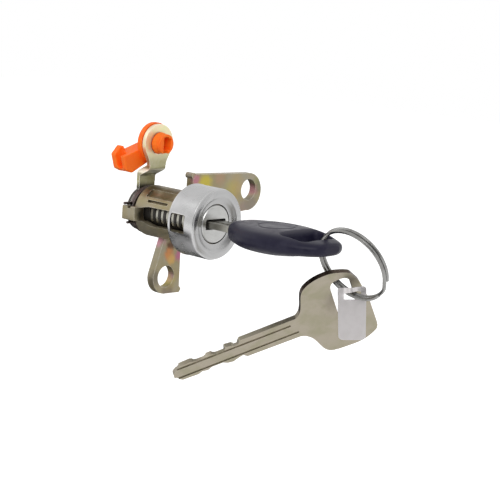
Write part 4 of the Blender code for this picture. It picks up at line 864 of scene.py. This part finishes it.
def build_head():
    """The key's soft head: a fine loft with its slot and a bare oval groove, its edges melted."""
    head = lofted("key_head_fine", head_rings())
    slot = lofted("slot_cutter", slot_rings())
    pocket = lofted("pocket_cutter", pocket_rings())
    carve(head, [slot, pocket, emblem_groove(1), emblem_groove(-1)])
    bpy.context.scene.collection.objects.unlink(head)
    soften(head, HEAD_VOXEL, HEAD_SMOOTHING)
    return stand_for(head, "key_head")


def build_clip():
    """The orange clip with an open cradle: high rear wall, low front one, round floor."""

    def arm_body(name, rings):
        """A body through rings of (along, up, forward) points, placed as the arm is."""
        turn = Matrix.Rotation(ARM_TURN, 3, "Z")
        placed = []
        for ring in rings:
            turned = [turn @ Vector((x, y + ARM_OFFSET, forward)) for x, y, forward in ring]
            placed.append([(p.x, -p.z, p.y + EYE_HEIGHT) for p in turned])
        return lofted(name, placed)

    filler = arm_body("filler", [
        [(x * MM, y * MM, ARM_MIDDLE + side * CRADLE_FILL_HALF) for x, y in CRADLE_FILL]
        for side in (-1, 1)
    ])
    profile = [(CRADLE_HALF, CRADLE_TOP), (-CRADLE_HALF, CRADLE_TOP)]
    for i in range(CRADLE_STEPS + 1):
        angle = math.pi * (1 + i / CRADLE_STEPS)
        across = CRADLE_HALF * math.cos(angle)
        profile.append((across, CRADLE_FLOOR + CRADLE_HALF * math.sin(angle)))
    cradle = arm_body("cradle", [
        [(x, y, ARM_MIDDLE + across) for across, y in profile] for x in CRADLE_SPAN
    ])
    step = arm_body("front_step", [
        [(x, LOW_WALL_TOP, LOW_WALL_FRONT), (x, CRADLE_TOP, LOW_WALL_FRONT),
         (x + LOW_WALL_SLANT, CRADLE_TOP, LOW_WALL_REAR),
         (x + LOW_WALL_SLANT, LOW_WALL_TOP, LOW_WALL_REAR)]
        for x in LOW_WALL_SPAN
    ])
    clip = in_scene(bpy.data.objects.new("rod_clip_fine", welded_mesh("rod_clip", "rod_clip_fine")))
    carve(clip, [filler], "UNION")
    carve(clip, [cradle, step])
    bpy.context.scene.collection.objects.unlink(clip)
    soften(clip, CLIP_VOXEL, CLIP_SMOOTHING)
    return stand_for(clip, "rod_clip")


def build_tag():
    """The tag as a thin strip with soft corners, its top curled forward over the ring."""

    def sheet(name, corners, half):
        """A flat sheet with this outline and half thickness."""
        outline = rounded_corners([tuple(value * MM for value in corner) for corner in corners])
        return lofted(name, [[(p.x, p.y, side * half) for p in outline] for side in (-1, 1)])

    tag = sheet("key_tag_fine", TAG_OUTLINE, TAG_HALF_THICK)
    carve(tag, [sheet("tag_slot", TAG_SLOT, 3 * TAG_HALF_THICK)])
    bpy.context.scene.collection.objects.unlink(tag)
    surface = bmesh.new()
    surface.from_mesh(tag.data)
    for normal, first, last, step in TAG_CUTS:
        for i in range(round((last - first) / step) + 1):
            place = Vector(normal) * (first + i * step) * MM
            everything = surface.verts[:] + surface.edges[:] + surface.faces[:]
            bmesh.ops.bisect_plane(surface, geom=everything, plane_co=place, plane_no=normal)
    up = TAG_FACING.cross(TAG_ACROSS)
    for v in surface.verts:
        across, height, depth = v.co
        hill = math.exp(-((across - TAG_CURL_PLACE) / TAG_CURL_REACH) ** 2)
        rise = min(1.0, max(0.0, (height / MM - TAG_CURL_START) / TAG_CURL_RISE))
        depth += TAG_CURL * hill * rise * rise * (3 - 2 * rise)
        v.co = TAG_PIVOT + TAG_ACROSS * across + up * height + TAG_FACING * depth
    surface.to_mesh(tag.data)
    surface.free()
    round_edges(tag, PRESSED_ROUND)
    return stand_for(tag, "key_tag")


def build_pieces():
    """Finer shells in place of the nodes whose edges or soft forms show."""
    rounded_copy("housing", CAST_ROUND)
    for node in ("face_cap", "lever"):
        rounded_copy(node, PRESSED_ROUND)
    for node in ("spare_key", "key_blade", "plug", "plug_face"):
        rounded_copy(node, MILLED_ROUND)
    for node in ("return_spring", "key_ring"):
        rounded_copy(node, MILLED_ROUND, segments=1)
    build_clip()
    build_head()
    build_tag()


def add_camera():
    """The camera at the photograph's viewing angle."""
    azimuth = math.radians(CAMERA_AZIMUTH)
    elevation = math.radians(CAMERA_ELEVATION)
    level = math.cos(elevation)
    back = Vector((math.sin(azimuth) * level, -math.cos(azimuth) * level, math.sin(elevation)))
    right = Vector((0, 0, 1)).cross(back).normalized()
    turn = Matrix((right, back.cross(right), back)).transposed()
    turn = turn @ Matrix.Rotation(math.radians(CAMERA_ROLL), 3, "Z")
    data = bpy.data.cameras.new("photo_view")
    data.lens = LENS
    data.sensor_width = SENSOR
    data.clip_start = 0.01
    camera = in_scene(bpy.data.objects.new("photo_view", data))
    camera.matrix_world = Matrix.Translation(CAMERA_PLACE) @ turn.to_4x4()
    bpy.context.scene.camera = camera


def seen_directly(nodes, links):
    """1 for rays from the camera and for those that a reflection or clear piece sends on."""
    path = nodes.new("ShaderNodeLightPath")
    most = path.outputs["Is Camera Ray"]
    for name in ("Is Glossy Ray", "Is Transmission Ray"):
        larger = nodes.new("ShaderNodeMath")
        larger.operation = "MAXIMUM"
        links.new(most, larger.inputs[0])
        links.new(path.outputs[name], larger.inputs[1])
        most = larger.outputs[0]
    return most


def grey_sheet(name, corners, grey, rough):
    """A flat sheet of one grey, for the studio."""
    mesh = bpy.data.meshes.new(name)
    mesh.from_pydata(corners, [], [(0, 1, 2, 3)])
    material = bpy.data.materials.new(name)
    material.use_nodes = True
    shader = material.node_tree.nodes["Principled BSDF"]
    shader.inputs["Base Color"].default_value = (grey, grey, grey, 1.0)
    shader.inputs["Roughness"].default_value = rough
    mesh.materials.append(material)
    return in_scene(bpy.data.objects.new(name, mesh))


def add_floor():
    """A pale floor that shows white and keeps the object's faint shadow."""
    low = cad_box[0].z - FLOOR_DROP
    half = FLOOR_SIZE / 2
    corners = [(-half, -half, low), (half, -half, low), (half, half, low), (-half, half, low)]
    floor = grey_sheet("studio_floor", corners, FLOOR_GREY, FLOOR_ROUGH)
    tree = floor.data.materials[0].node_tree
    shader = tree.nodes["Principled BSDF"]
    shader.inputs["Emission Color"].default_value = (1.0, 1.0, 1.0, 1.0)
    glow = tree.nodes.new("ShaderNodeMath")
    glow.operation = "MULTIPLY"
    glow.inputs[1].default_value = FLOOR_GLOW
    tree.links.new(seen_directly(tree.nodes, tree.links), glow.inputs[0])
    tree.links.new(glow.outputs[0], shader.inputs["Emission Strength"])


def add_world():
    """White where it is seen, a softer grey as light on the object."""
    world = bpy.data.worlds.new("studio")
    world.use_nodes = True
    nodes = world.node_tree.nodes
    links = world.node_tree.links
    sky = nodes["Background"]
    sky.inputs["Color"].default_value = (1.0, 1.0, 1.0, 1.0)
    level = nodes.new("ShaderNodeMapRange")
    level.inputs["To Min"].default_value = WORLD_LIGHT
    level.inputs["To Max"].default_value = 1.0
    links.new(seen_directly(nodes, links), level.inputs["Value"])
    links.new(level.outputs[0], sky.inputs["Strength"])
    bpy.context.scene.world = world


def add_lamp(name, place, size, level):
    """A square soft box that points at the lock; its level is the brightness of its face."""
    data = bpy.data.lights.new(name, "AREA")
    data.size = size
    data.energy = level * math.pi * size * size
    lamp = in_scene(bpy.data.objects.new(name, data))
    lamp.location = place
    lamp.rotation_euler = (AIM - Vector(place)).to_track_quat("-Z", "Y").to_euler()


def add_card(name, place, width, height, facing, grey):
    """A dark card that only reflections see, as those that give metal its contrast in a studio."""
    x, y = width / 2, height / 2
    card = grey_sheet(name, [(-x, -y, 0), (x, -y, 0), (x, y, 0), (-x, y, 0)], grey, CARD_ROUGH)
    card.location = place
    card.rotation_euler = Vector(facing).to_track_quat("Z", "Y").to_euler()
    for kind in ("camera", "diffuse", "transmission", "volume_scatter", "shadow"):
        setattr(card, "visible_" + kind, False)


add_camera()
add_world()
add_floor()
for lamp in LAMPS:
    add_lamp(*lamp)
for card in CARDS:
    add_card(*card)
finish_frame()
build_pieces()
bpy.context.scene.view_settings.view_transform = "Standard"
